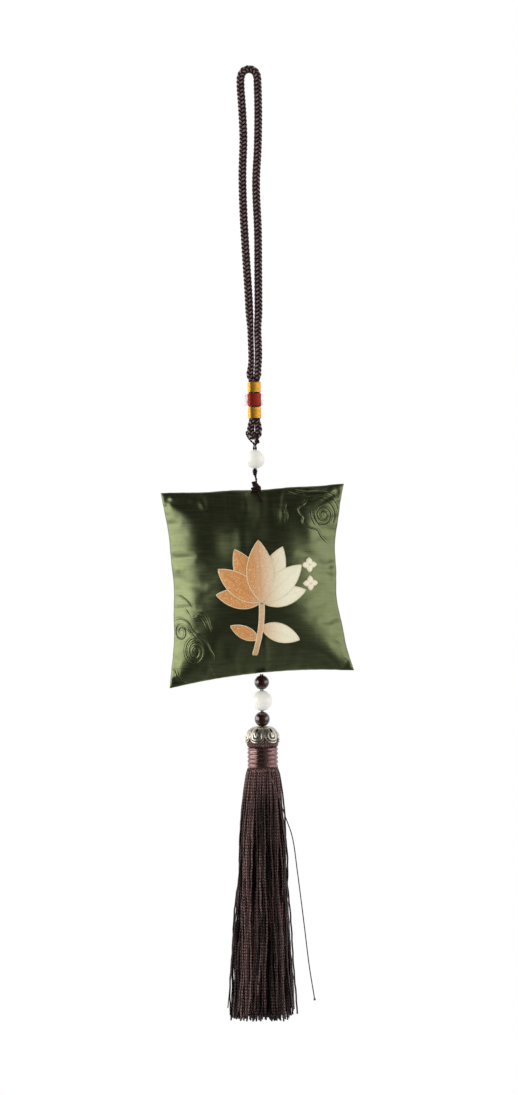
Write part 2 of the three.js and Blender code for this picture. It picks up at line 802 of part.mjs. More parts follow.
const lowerStringFoot = darkLowerZ - darkLowerD / 2;
const lowerString = straightString(
  lowerX, seamZ - gap, lowerStringFoot, doubleStringW, stringD,
);
charm.add(piece("lower_string", lowerString, "string"));
charm.add(piece("dark_bead_upper", bead(lowerX, darkUpperZ, darkUpperD), "darkBead"));
charm.add(piece("lower_pale_bead", bead(lowerX, lowerPaleZ, lowerPaleD), "paleStone"));
charm.add(piece("dark_bead_lower", bead(lowerX, darkLowerZ, darkLowerD), "darkBead"));

const tassel = new THREE.Group();
tassel.position.set(lowerX, 0, shoulderZ);
const tasselStringTop = lowerStringFoot - beadGap - shoulderZ;
const tasselString = toGeometry(joined([
  straightString(0, tasselStringTop, -endKnotDrop, doubleStringW, stringD),
  knot(0, -endKnotDrop, endKnotD),
]));
tassel.add(piece("tassel_cap", tasselCap(), "silver"));
tassel.add(piece("tassel_string", tasselString, "string"));
tassel.add(piece("tassel_head", tasselHead(), "silk"));
tassel.add(piece("tassel_binding", bindingWinding(0, -headDrop), "bindingSilk"));
const skirt = piece("tassel_skirt", tasselSkirt(), "silk");
skirt.position.z = -headDrop - bindingH - gap;
tassel.add(skirt);
charm.add(tassel);

export default charm;
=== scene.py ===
"""Hanging satin charm: the finished surfaces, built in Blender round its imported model."""

import math
import random

import bmesh
import bpy
import numpy as np
from bpy.props import FloatProperty, FloatVectorProperty, IntProperty, PointerProperty
from mathutils import Matrix, Vector
from mathutils.bvhtree import BVHTree


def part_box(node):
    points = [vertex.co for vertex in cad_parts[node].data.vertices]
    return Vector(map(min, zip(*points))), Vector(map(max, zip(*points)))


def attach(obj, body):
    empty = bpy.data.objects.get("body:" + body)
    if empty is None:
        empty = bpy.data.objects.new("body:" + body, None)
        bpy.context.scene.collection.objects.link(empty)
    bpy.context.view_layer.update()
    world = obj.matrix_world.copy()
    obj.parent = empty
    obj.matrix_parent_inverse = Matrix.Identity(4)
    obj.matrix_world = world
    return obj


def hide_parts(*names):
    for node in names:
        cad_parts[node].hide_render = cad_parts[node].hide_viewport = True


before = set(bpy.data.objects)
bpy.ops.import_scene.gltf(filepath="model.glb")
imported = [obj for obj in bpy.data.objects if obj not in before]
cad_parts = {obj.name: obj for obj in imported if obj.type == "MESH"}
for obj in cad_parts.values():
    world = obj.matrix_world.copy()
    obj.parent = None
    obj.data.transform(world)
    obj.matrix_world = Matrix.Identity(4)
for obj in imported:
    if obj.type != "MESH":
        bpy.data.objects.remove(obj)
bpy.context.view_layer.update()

bl_info = {
    "name": "Satin charm",
    "version": (1, 0, 0),
    "blender": (4, 5, 0),
    "location": "3D View > Sidebar > Charm",
    "description": "Builds the braid, pillow, beads and tassel of a hanging satin charm",
    "category": "Object",
}

MM = 0.001

# The hanging cord's route, from end to end inside the wrap
CORD_ROUTE = [
    (0.0016, 0, -0.1362), (0.0016, 0, -0.1442), (0.0022, 0, -0.1466), (0.0025, 0, -0.149),
    (0.00185, 0, -0.1506), (0.0003, 0, -0.1512), (-0.00125, 0, -0.1506), (-0.0019, 0, -0.149),
    (-0.0016, 0, -0.1466), (-0.001, 0, -0.1442), (-0.001, 0, -0.1365), (-0.001, 0, -0.1283),
    (-0.0015, 0.0003, -0.1252), (-0.0009, 0.0007, -0.12), (-0.0011, 0.0002, -0.108),
    (-0.0013, 0, -0.096), (-0.0023, 0, -0.076), (-0.0031, 0.0002, -0.058),
    (-0.0033, 0.0003, -0.042), (-0.0027, 0.0002, -0.027), (-0.0031, 0, -0.014),
    (-0.0036, 0, -0.0046), (-0.00335, 0, -0.0012), (-0.0022, 0, 0.0009), (0, 0, 0.0017),
    (0.0022, 0, 0.0009), (0.0033, 0, -0.0012), (0.0035, 0, -0.0046), (0.0036, 0, -0.016),
    (0.0032, -0.0002, -0.031), (0.0023, -0.0003, -0.046), (0.0028, -0.0001, -0.066),
    (0.0027, 0, -0.084), (0.0026, -0.0001, -0.104), (0.0028, -0.0007, -0.119),
    (0.0021, -0.0003, -0.1252), (0.0016, 0, -0.1283), (0.0016, 0, -0.1358),
]


def srgb(red, green, blue):
    """Colour-picker values from 0 to 255 as the linear values that Blender keeps."""
    shares = [value / 255 for value in (red, green, blue)]
    return tuple(c / 12.92 if c <= 0.04045 else ((c + 0.055) / 1.055) ** 2.4 for c in shares)


def length(name, description, default):
    return FloatProperty(name=name, description=description, default=default, unit="LENGTH")


def amount(name, description, default):
    return FloatProperty(name=name, description=description, default=default)


def number(name, description, default):
    return IntProperty(name=name, description=description, default=default)


def colour(name, description, default):
    return FloatVectorProperty(
        name=name, description=description, default=default, subtype="COLOR", size=3,
    )


# Settings

class CordSettings(bpy.types.PropertyGroup):
    diameter: length("Diameter", "Outside diameter of the round braid", 3.4 * MM)
    lead: length("Lead", "Length in which one strand goes once round", 10.1 * MM)
    strands_each_way: number("Strands each way", "Strands that wind to the left, and right", 6)
    strand_width: length("Strand width", "Width of one flat strand", 1.16 * MM)
    strand_thickness: length("Strand thickness", "Thickness of one flat strand", 0.56 * MM)
    strand_wave: length("Strand wave", "Rise and fall of a strand over its neighbours", 0.3 * MM)
    fibre: colour("Fibre", "Colour of the braid", srgb(58, 36, 38))
    # Painted highlight: the light colour laid on each strand's crest in place of its sheen
    fibre_painted_highlight: colour("Fibre, light", "Colour of a strand's shining crest", srgb(176, 154, 152))
    string_diameter: length("String", "Diameter of the thin string", 0.6 * MM)
    string_fibre: colour("String fibre", "Colour of the thin string", srgb(46, 27, 25))


class WrapSettings(bpy.types.PropertyGroup):
    thread: length("Thread", "Diameter of the winding thread", 0.36 * MM)
    pitch: length("Pitch", "Rise of one turn", 0.29 * MM)
    gold: colour("Gold", "Colour of the gold thread", srgb(246, 184, 66))
    red: colour("Red", "Colour of the red thread", srgb(178, 48, 30))
    fuzz: number("Fuzz", "Loose fibres on the red thread", 130)


class PillowSettings(bpy.types.PropertyGroup):
    width: length("Width", "Width between the middles of the side corners", 77.4 * MM)
    height: length("Height", "Height between the middles of the corners", 80.3 * MM)
    thickness: length("Thickness", "Thickness at the crown", 24 * MM)
    tilt: FloatProperty(
        name="Tilt", description="How far the pillow hangs askew", default=math.radians(2.4),
        subtype="ANGLE",
    )
    left_pull: length("Left pull", "How far the left side is drawn in", 3.3 * MM)
    right_pull: length("Right pull", "How far the right side is drawn in", 5.4 * MM)
    top_pull: length("Top pull", "How far the top side is drawn in", 0.3 * MM)
    bottom_pull: length("Bottom pull", "How far the bottom side is drawn in", 2.5 * MM)
    cells: number("Cells", "Cloth cells along each side", 60)
    growth: amount("Spare cloth", "Share by which the cloth is wider than its seams", 0.02)
    pressure: amount("Pressure", "Push of the filling", 3.0)
    satin: colour("Satin", "Colour of the satin", srgb(112, 119, 86))
    satin_deep: colour("Satin, deep", "Colour of the satin in its grain", srgb(92, 99, 66))


class NeedleSettings(bpy.types.PropertyGroup):
    gold_warm: colour("Warm gold", "Thread colour on the left", srgb(222, 150, 78))
    # Painted highlight: the pale colour on the right stands in for the thread's sheen there
    gold_painted_highlight: colour("Pale gold", "Thread colour on the right", srgb(255, 250, 220))
    rim: colour("Rim", "Colour of the thin border thread", srgb(252, 236, 198))
    rim_thread: length("Rim thread", "Diameter of the border thread", 0.42 * MM)
    scroll_rise: length("Scroll rise", "Height of the woven cloud scrolls", 0.24 * MM)
    scroll_width: length("Scroll width", "Width of a scroll's line", 0.44 * MM)


class BeadSettings(bpy.types.PropertyGroup):
    bore: length("Bore", "Diameter of a bead's hole", 1.9 * MM)
    dark: colour("Dark bead", "Colour of the dark beads", srgb(50, 18, 12))
    pale: colour("Pale bead", "Colour of the pale beads", srgb(254, 251, 242))


class TasselSettings(bpy.types.PropertyGroup):
    thread: length("Thread", "Diameter of one tassel thread", 0.74 * MM)
    threads: number("Threads", "Threads in the skirt", 290)
    unevenness: length("Unevenness", "How much the cut ends differ", 5 * MM)
    silk: colour("Silk", "Colour of the threads", srgb(82, 61, 58))
    binding: colour("Binding", "Colour of the binding", srgb(150, 116, 112))
    metal: colour("Metal", "Colour of the petal cap", srgb(206, 198, 182))


class StageSettings(bpy.types.PropertyGroup):
    distance: length("Distance", "From the camera to the charm's middle plane", 1.8)
    lamp_power: amount("Lamp power", "Watts of a lamp whose share is 1", 5.0)
    surround: amount("Surround", "Soft light from all round", 0.56)


# Shaders

class Wire:
    """A shader socket whose arithmetic adds Math nodes."""

    def __init__(self, finish, socket):
        self.finish = finish
        self.socket = socket

    def math(self, operation, *others):
        sockets = dict(enumerate((self, *others)))
        return self.finish.node("ShaderNodeMath", {"operation": operation}, sockets)

    def __add__(self, other):
        return self.math("ADD", other)

    def __mul__(self, other):
        return self.math("MULTIPLY", other)

    def __pow__(self, other):
        return self.math("POWER", other)

    __radd__ = __add__
    __rmul__ = __mul__

    def __rsub__(self, other):
        return self.finish.node("ShaderNodeMath", {"operation": "SUBTRACT"}, {0: other, 1: self})

    def sine(self):
        return self.math("SINE")

    def size(self):
        return self.math("ABSOLUTE")

    def ramp(self, low, high, at_low=0.0, at_high=1.0):
        return self.finish.node(
            "ShaderNodeMapRange", {"interpolation_type": "SMOOTHSTEP"},
            {0: self, 1: low, 2: high, 3: at_low, 4: at_high},
        )


class Finish:
    """One procedural surface, or the world's, as a tree of nodes."""

    def __init__(self, name, tree=None):
        if tree is None:
            self.material = bpy.data.materials.new(name)
            self.material.use_nodes = True
            tree = self.material.node_tree
        self.tree = tree
        self.tree.nodes.clear()

    def node(self, kind, settings=None, sockets=None, output=0):
        made = self.tree.nodes.new(kind)
        for key, value in (settings or {}).items():
            setattr(made, key, value)
        for key, value in (sockets or {}).items():
            if isinstance(value, Wire):
                self.tree.links.new(value.socket, made.inputs[key])
            else:
                made.inputs[key].default_value = value
        return Wire(self, made.outputs[output])

    def place(self, scale=(1, 1, 1)):
        """The piece's own coordinates in millimetres, stretched by the scale."""
        coordinates = self.node("ShaderNodeTexCoord", output="Object")
        stretched = tuple(share / MM for share in scale)
        return self.node("ShaderNodeMapping", {}, {"Vector": coordinates, "Scale": stretched})

    def axis(self, name):
        return self.node("ShaderNodeSeparateXYZ", {}, {0: self.place()}, output=name)

    def carried(self, name):
        return self.node("ShaderNodeAttribute", {"attribute_name": name}, output="Fac")

    def noise(self, size, detail=2.0, stretch=(1, 1, 1)):
        where = self.place(tuple(s / size for s in stretch))
        return self.node(
            "ShaderNodeTexNoise", {}, {"Vector": where, "Scale": 1.0, "Detail": detail},
        )

    def mix(self, share, first, second):
        sockets = {0: share}
        for key, value in ((6, first), (7, second)):
            sockets[key] = value if isinstance(value, Wire) else (*value, 1)
        return self.node("ShaderNodeMix", {"data_type": "RGBA"}, sockets, output=2)

    def bump(self, height, depth):
        return self.node(
            "ShaderNodeBump", {}, {"Height": height, "Distance": depth, "Strength": 1.0},
        )

    def done(self, **values):
        """Ends in a Principled shader; a name's underscores stand for its spaces."""
        sockets = {key.replace("_", " "): value for key, value in values.items()}
        self.end(self.node("ShaderNodeBsdfPrincipled", {}, sockets))
        return self.material

    def end(self, shader, kind="ShaderNodeOutputMaterial"):
        made = self.tree.nodes.new(kind)
        self.tree.links.new(shader.socket, made.inputs["Surface"])


def shade(tone, factor):
    return tuple(c * factor for c in tone)


def braid_finish(name, fibre, light):
    f = Finish(name)
    across = f.carried("across")
    along = f.carried("along")
    yarn = (along * (2 * math.pi / 0.24) + across * 5.0).sine()
    tint = f.carried("tint")
    crest = f.carried("crest")
    tone = f.mix(tint, shade(fibre, 0.7), shade(fibre, 1.3))
    # Painted highlight on each strand's crest, brighter on lighter strands
    highlight_stroke = crest.ramp(0.35, 0.95) * (1 - across.size().ramp(0.15, 0.8))
    tone = f.mix(highlight_stroke * tint.ramp(0.0, 1.0, 0.45, 0.85), tone, light)
    # Painted shade: near black where a strand dips under its neighbours and in the braid's core, and
    # along each strand's sides between the strands
    tone = f.mix(crest.ramp(-0.4, 0.5), shade(fibre, 0.06), tone)
    tone = f.mix((across.size() ** 2.0).ramp(0.4, 1.0, 0.0, 0.9), tone, shade(fibre, 0.05))
    fuzz = f.noise(0.12, 3.0)
    normal = f.bump(yarn * 0.5 + fuzz, 0.05 * MM)
    return f.done(
        Base_Color=tone, Roughness=fuzz.ramp(0.3, 0.7, 0.36, 0.54), Normal=normal,
        Specular_IOR_Level=0.2,
    )


def thread_finish(name, tone, depth=0.5, roughness=0.34, metallic=0.0, gloss=0.6):
    """Glossy wound thread: fine filaments that run round the winding, with painted shade along the
    sides of each turn, as strong as depth.
    """
    f = Finish(name)
    across = f.carried("across")
    fine = f.noise(0.5, 3.0, (1, 1, 5.0))
    mottle = f.noise(1.6, 2.0, (1, 1, 2.0))
    base = f.mix(fine.ramp(0.3, 0.7), shade(tone, 0.78), shade(tone, 1.1))
    # Painted shade along each turn's sides, where it meets its neighbours
    base = f.mix((across.size() ** 2.0).ramp(0.3, 1.0, 0.0, depth), base, shade(tone, 0.28))
    base = f.mix(mottle.ramp(0.45, 0.75, 0.0, 0.3), base, shade(tone, 0.6))
    normal = f.bump(fine, 0.04 * MM)
    return f.done(
        Base_Color=base, Roughness=fine.ramp(0.3, 0.7, roughness, roughness + 0.14),
        Normal=normal, Metallic=metallic, Specular_IOR_Level=gloss,
    )


def satin_finish(settings):
    f = Finish("olive_satin")
    slub = f.noise(0.5, 3.0, (0.06, 0.06, 1.0))
    weft = f.noise(0.28, 2.0, (0.03, 0.03, 1.0))
    warp = f.noise(0.5, 2.0, (1.0, 1.0, 0.05))
    cloudy = f.noise(14.0, 2.0)
    grain = slub * 0.6 + weft * 0.25 + warp * 0.15
    tone = f.mix(grain.ramp(0.3, 0.7), settings.satin_deep, settings.satin)
    tone = f.mix(cloudy.ramp(0.35, 0.7, 0.0, 0.3), tone, shade(settings.satin, 0.75))
    normal = f.bump(slub * 0.5 + weft * 0.5, 0.035 * MM)
    return f.done(
        Base_Color=tone, Roughness=grain.ramp(0.35, 0.65, 0.34, 0.42), Normal=normal,
        Metallic=0.95, Specular_IOR_Level=0.4,
    )


def gold_finish(settings, left, right):
    f = Finish("gold_stitching")
    # Painted highlight: the thread turns from warm gold on the left to pale on the right
    share = f.axis("X").ramp(left, right)
    base = f.mix(share, settings.gold_warm, settings.gold_painted_highlight)
    fleck = f.noise(0.42, 2.0)
    deep = f.mix(share, shade(settings.gold_warm, 0.6), shade(settings.gold_painted_highlight, 0.84))
    base = f.mix(fleck.ramp(0.5, 0.64, 0.0, 0.5), base, deep)
    base = f.mix(fleck.ramp(0.32, 0.44, 0.5, 0.0), base, settings.rim)
    along = f.carried("along")
    across = f.carried("across")
    stitch = ((along + across.size() * 1.6) * (2 * math.pi / 0.62)).sine()
    vein = across.size().ramp(0.0, 0.1, 0.35, 0.0)
    base = f.mix(vein, base, deep)
    normal = f.bump(stitch * 0.35 + fleck, 0.1 * MM)
    return f.done(
        Base_Color=base, Roughness=fleck.ramp(0.3, 0.7, 0.42, 0.62), Normal=normal,
        Sheen_Weight=0.2,
    )


def rim_finish(settings):
    f = Finish("gold_rim")
    twist = (f.carried("along") * (2 * math.pi / 0.7) + f.carried("across") * 2.0).sine()
    # Painted shade in the grooves of the thread's twist
    tone = f.mix(twist.ramp(-1.0, 1.0), shade(settings.rim, 0.72), settings.rim)
    return f.done(Base_Color=tone, Roughness=0.45, Normal=f.bump(twist, 0.04 * MM))


def bead_finish(name, first, second, size, stretch, waves, roughness, **gloss):
    """Polished glass or stone with faint clouds."""
    f = Finish(name)
    cloud = f.noise(size, 3.0, stretch)
    return f.done(
        Base_Color=f.mix(cloud.ramp(0.35, 0.7), first, second),
        Roughness=cloud.ramp(0.3, 0.7, *roughness), Normal=f.bump(f.noise(waves), 0.01 * MM),
        **gloss,
    )


def metal_finish(settings):
    f = Finish("silver_petals")
    hollow = f.carried("hollow")
    stain = f.noise(0.8, 3.0)
    dirt = hollow.ramp(0.1, 0.9) * stain.ramp(0.2, 0.75, 0.7, 1.0)
    tone = f.mix(dirt, settings.metal, shade(settings.metal, 0.1))
    normal = f.bump(f.noise(0.3, 2.0), 0.01 * MM)
    return f.done(
        Base_Color=tone, Metallic=1.0, Roughness=dirt.ramp(0.0, 1.0, 0.36, 0.6), Normal=normal,
    )


def silk_finish(name, tone):
    f = Finish(name)
    tint = f.carried("tint")
    across = f.carried("across")
    along = f.carried("along")
    run = f.noise(0.5, 3.0, (1, 1, 0.12))
    twist = (along * (2 * math.pi / 1.25) + across * 2.2 + run * 5.0).sine()
    # Each thread's random tone, whose lighter end is also a painted highlight
    base = f.mix(tint, shade(tone, 0.12), shade(tone, 3.8))
    # Painted highlight: lighter towards the threads' tops, just under the binding
    base = f.mix(along.ramp(3.0, 18.0, 0.8, 0.0), base, shade(tone, 3.6))
    # Painted shade in the grooves of each thread's twist
    base = f.mix(twist.ramp(-0.9, 0.5, 0.7, 0.0), base, shade(tone, 0.12))
    base = f.mix(run.ramp(0.45, 0.66, 0.0, 0.6), base, shade(tone, 0.2))
    normal = f.bump(twist, 0.07 * MM)
    return f.done(
        Base_Color=base, Roughness=run.ramp(0.3, 0.7, 0.24, 0.4), Normal=normal,
        Metallic=0.4, Specular_IOR_Level=0.4,
    )


def fibre_finish(name, tone, size):
    f = Finish(name)
    fluff = f.noise(size, 5.0)
    base = f.mix(fluff.ramp(0.3, 0.7), shade(tone, 0.8), tone)
    return f.done(Base_Color=base, Roughness=0.95, Normal=f.bump(fluff, 0.5 * MM))


# Shapes

TWIST_STEPS = 10
PLY_SHARE = 0.56


def places(bm):
    return np.array([v.co for v in bm.verts]).reshape(-1, 3)


def put(bm, coords):
    for vertex, place in zip(bm.verts, coords):
        vertex.co = place


def keep(bm, name, values):
    """Stores one number for each vertex."""
    layer = bm.verts.layers.float.get(name) or bm.verts.layers.float.new(name)
    for vertex, value in zip(bm.verts, values):
        vertex[layer] = value


def keep_run(bm):
    """Stores how far along its +Z each vertex lies, in millimetres."""
    keep(bm, "along", [v.co.z / MM for v in bm.verts])


def shift(bm, way):
    bmesh.ops.translate(bm, verts=bm.verts, vec=way)


def repeat(bm, count, angle=0.0, step=(0, 0, 0)):
    """Copies all that a bmesh holds, round the vertical axis or step by step, count times in all."""
    bmesh.ops.spin(
        bm, geom=bm.verts[:] + bm.edges[:] + bm.faces[:], cent=(0, 0, 0), axis=(0, 0, 1),
        dvec=step, angle=angle, steps=count - 1, use_duplicate=True,
    )


def eased(share):
    """A share from 0 to 1 with a soft start and end."""
    return share * share * (3 - 2 * share)


def smooth_path(points, step):
    """Even steps along the centripetal Catmull-Rom curve through the points."""
    p = np.array(points, float)
    p = np.vstack([2 * p[0] - p[1], p, 2 * p[-1] - p[-2]])
    fine = [p[1][None]]
    for a, b, c, d in zip(p, p[1:], p[2:], p[3:]):
        t1 = np.linalg.norm(b - a) ** 0.5
        t2 = t1 + np.linalg.norm(c - b) ** 0.5
        t3 = t2 + np.linalg.norm(d - c) ** 0.5
        t = np.linspace(t1, t2, 25)[1:, None]
        ab, bc = a + (b - a) * t / t1, b + (c - b) * (t - t1) / (t2 - t1)
        cd = c + (d - c) * (t - t2) / (t3 - t2)
        abc, bcd = ab + (bc - ab) * t / t2, bc + (cd - bc) * (t - t1) / (t3 - t1)
        fine.append(abc + (bcd - abc) * (t - t1) / (t2 - t1))
    fine = np.vstack(fine)
    run = run_of(fine)
    even = np.linspace(0, run[-1], max(2, round(run[-1] / step)) + 1)
    return np.column_stack([np.interp(even, run, fine[:, k]) for k in range(3)])


def run_of(path):
    steps = np.linalg.norm(np.diff(path, axis=0), axis=1)
    return np.concatenate([[0], np.cumsum(steps)])


def crossways(path, outward=None):
    """Two directions across the path at each point, turned as little as possible along it."""
    ahead = np.gradient(path, axis=0)
    ahead /= np.linalg.norm(ahead, axis=1)[:, None]
    if outward is None:
        first = np.zeros_like(path)
        start = np.array([0, -1.0, 0]) if abs(ahead[0][1]) < 0.9 else np.array([1.0, 0, 0])
        for i, direction in enumerate(ahead):
            start = start - direction * (start @ direction)
            start /= np.linalg.norm(start)
            first[i] = start
    else:
        first = outward - ahead * (outward * ahead).sum(1)[:, None]
        first /= np.linalg.norm(first, axis=1)[:, None]
    return first, np.cross(ahead, first)


def bend_onto(bm, path, outward=None):
    """Bends what stands along +Z from the origin onto a path; its +X turns outward."""
    coords = places(bm)
    run = run_of(path)
    first, second = crossways(path, outward)
    made = np.zeros_like(coords)
    for k in range(3):
        made[:, k] = np.interp(coords[:, 2], run, path[:, k])
        made[:, k] += coords[:, 0] * np.interp(coords[:, 2], run, first[:, k])
        made[:, k] += coords[:, 1] * np.interp(coords[:, 2], run, second[:, k])
    put(bm, made)


def wound_strand(bm, offset, width, thickness, lead, height, steps, sides=6, start=0.0):
    """One flat strand that winds round +Z: a ring carried by a spin, with both ends closed."""
    across = bm.verts.layers.float.get("across") or bm.verts.layers.float.new("across")
    ring = bmesh.ops.create_circle(bm, segments=sides, radius=0.5)["verts"]
    for vertex in ring:
        vertex[across] = 2 * vertex.co.y
    slope = math.atan2(2 * math.pi * offset, lead) if lead else 0.0
    place = (
        Matrix.Rotation(start, 4, "Z") @ Matrix.Translation((offset, 0, 0))
        @ Matrix.Rotation(-slope, 4, "X") @ Matrix.Diagonal((thickness, width, 1, 1))
    )
    bmesh.ops.transform(bm, matrix=place, verts=ring)
    edges = list({edge for vertex in ring for edge in vertex.link_edges})
    bmesh.ops.contextual_create(bm, geom=edges)
    carried = bmesh.ops.spin(
        bm, geom=edges, cent=(0, 0, 0), axis=(0, 0, 1), dvec=(0, 0, height / steps),
        angle=2 * math.pi * height / lead if lead else 0.0, steps=steps,
    )
    last = [e for e in carried["geom_last"] if isinstance(e, bmesh.types.BMEdge)]
    bmesh.ops.contextual_create(bm, geom=last)


def tube(path, width, sides, outward=None):
    """A closed tube along a path, with numbers for its run and for its width."""
    bm = bmesh.new()
    run = run_of(path)[-1]
    wound_strand(bm, 0, width, width, 0, run, len(path) - 1, sides)
    keep_run(bm)
    bend_onto(bm, path, outward)
    return bm


def twisted(path, diameter, lead=2.4 * MM):
    """A string of two twisted plies along a path."""
    bm = bmesh.new()
    run = run_of(path)[-1]
    steps = max(8, round(run / (lead / TWIST_STEPS)))
    ply = diameter * PLY_SHARE
    for start in (0, math.pi):
        wound_strand(bm, (diameter - ply) / 2, ply, ply, lead, run, steps, start=start)
    keep_run(bm)
    bend_onto(bm, path)
    return bm


def mesh_of(name, bm):
    mesh = bpy.data.meshes.new(name)
    bm.to_mesh(mesh)
    bm.free()
    return mesh


def linked(name, data):
    """A new object in the scene."""
    made = bpy.data.objects.new(name, data)
    bpy.context.scene.collection.objects.link(made)
    return made


def add(bm, other):
    """Adds one bmesh to another."""
    loose = mesh_of("loose", other)
    bm.from_mesh(loose)
    bpy.data.meshes.remove(loose)
    return bm


def agree(bm):
    """Makes the normals of neighbouring faces agree."""
    bm.normal_update()
    bmesh.ops.recalc_face_normals(bm, faces=bm.faces)


def face_out(bm):
    """Turns a single shell's faces outwards."""
    agree(bm)
    if bm.calc_volume(signed=True) < 0:
        bmesh.ops.reverse_faces(bm, faces=bm.faces)


def values_of(collection, attribute, width, kind=float):
    """One attribute of all of a mesh's items as an array."""
    values = np.empty(len(collection) * width, kind)
    collection.foreach_get(attribute, values)
    return values.reshape(-1, width)


def shells_outward(mesh):
    """Flips each closed shell of a mesh whose faces point inwards, as its volume's sign tells."""
    ends = values_of(mesh.edges, "vertices", 2, np.int32)
    shell = np.arange(len(mesh.vertices))
    while True:
        pair = shell[ends]
        joined = shell.copy()
        np.minimum.at(joined, pair.ravel(), np.repeat(pair.min(axis=1), 2))
        joined = joined[joined]
        if (joined == shell).all():
            break
        shell = joined
    first = values_of(mesh.polygons, "loop_start", 1, np.int32)[:, 0]
    corner = values_of(mesh.loops, "vertex_index", 1, np.int32)[:, 0]
    own = shell[corner[first]]
    centre = values_of(mesh.polygons, "center", 3)
    volume = (centre * values_of(mesh.polygons, "normal", 3)).sum(axis=1)
    volume *= values_of(mesh.polygons, "area", 1)[:, 0]
    inward = np.bincount(own, volume, len(shell)) < 0
    for index in np.flatnonzero(inward[own]):
        mesh.polygons[int(index)].flip()


def spun(points, steps, merge):
    """A line of points spun once round the vertical axis."""
    bm = bmesh.new()
    line = [bm.verts.new(point) for point in points]
    edges = [bm.edges.new(pair) for pair in zip(line, line[1:])]
    bmesh.ops.spin(
        bm, geom=edges, cent=(0, 0, 0), axis=(0, 0, 1), dvec=(0, 0, 0), angle=2 * math.pi,
        steps=steps, use_merge=True,
    )
    bmesh.ops.remove_doubles(bm, verts=bm.verts, dist=merge)
    return bm


def turned(profile, steps):
    """A closed profile of (radius, height) spun round the vertical axis."""
    bm = spun([(radius, 0, height) for radius, height in profile], steps, 0.001 * MM)
    face_out(bm)
    return bm


def make_piece(name, bm, material, body, slot, *nodes):
    """Ends a piece: its mesh, its material, the body that it rides on and what it stands for."""
    agree(bm)
    mesh = mesh_of(name, bm)
    shells_outward(mesh)
    mesh.shade_smooth()
    mesh.materials.append(material)
    made = linked(name, mesh)
    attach(made, body)
    if nodes:
        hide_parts(*nodes)
    return made


def middle(node):
    low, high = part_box(node)
    return (low + high) / 2


# Cord, wraps and string

WRAPS = ("wrap_gold_upper", "wrap_red", "wrap_gold_lower")
WRAP_TURN = math.radians(25)
WRAP_TRIM = 0.12 * MM
# Inside the wrap each strand lies this far from the middle, pressed to this width and depth, and
# it takes this run to become so
STRAND_OFFSET = 1.15 * MM
PRESSED = (2.2 * MM, 3.0 * MM)
PRESS_RUN = 3 * MM
ROUTE_STEP = 0.5 * MM
STRAND_STEP = 0.44 * MM
# The braid's outer half and its core's thickness, as shares of its diameter and of its ring
OVER_STRANDS = 0.53
CORE_SHARE = 1.5


def press_in_wrap(coords, diameter):
    """Presses each strand of the cord to an oval inside the wrap, as the thread does."""
    middle_x = middle(WRAPS[1]).x
    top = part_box(WRAPS[0])[1].z
    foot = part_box(WRAPS[2])[0].z
    z = coords[:, 2]
    above = np.clip((top + PRESS_RUN - z) / PRESS_RUN, 0, 1)
    below = np.clip((z - foot + PRESS_RUN) / PRESS_RUN, 0, 1)
    share = eased(above) * eased(below)
    off = coords[:, 0] - middle_x
    side = np.sign(off) * STRAND_OFFSET
    pressed_x = side + (off - side) * PRESSED[0] / diameter
    pressed_y = coords[:, 1] * PRESSED[1] / diameter
    c, s = math.cos(WRAP_TURN), math.sin(WRAP_TURN)
    pressed = coords.copy()
    pressed[:, 0] += share * (middle_x + pressed_x * c - pressed_y * s - coords[:, 0])
    pressed[:, 1] += share * (pressed_x * s + pressed_y * c - coords[:, 1])
    return pressed


# Where the two strands are drawn together: from, full from, full to and to, and how far
DRAWN = ((-98, -108, -122, -129, 0.62), (-144.2, -147, -149.5, -153.5, 0.75))
DRAWN_SOFTNESS = 0.8 * MM


def draw_together(coords):
    """Draws the strands together above the wrap and in the bight below it."""
    middle_x = middle(WRAPS[1]).x
    z = coords[:, 2] / MM
    off = coords[:, 0] - middle_x
    for start, full, last, end, reach in DRAWN:
        share = np.clip((start - z) / (start - full), 0, 1) * np.clip((z - end) / (last - end), 0, 1)
        coords[:, 0] -= reach * MM * eased(share) * np.tanh(off / DRAWN_SOFTNESS)
    return coords


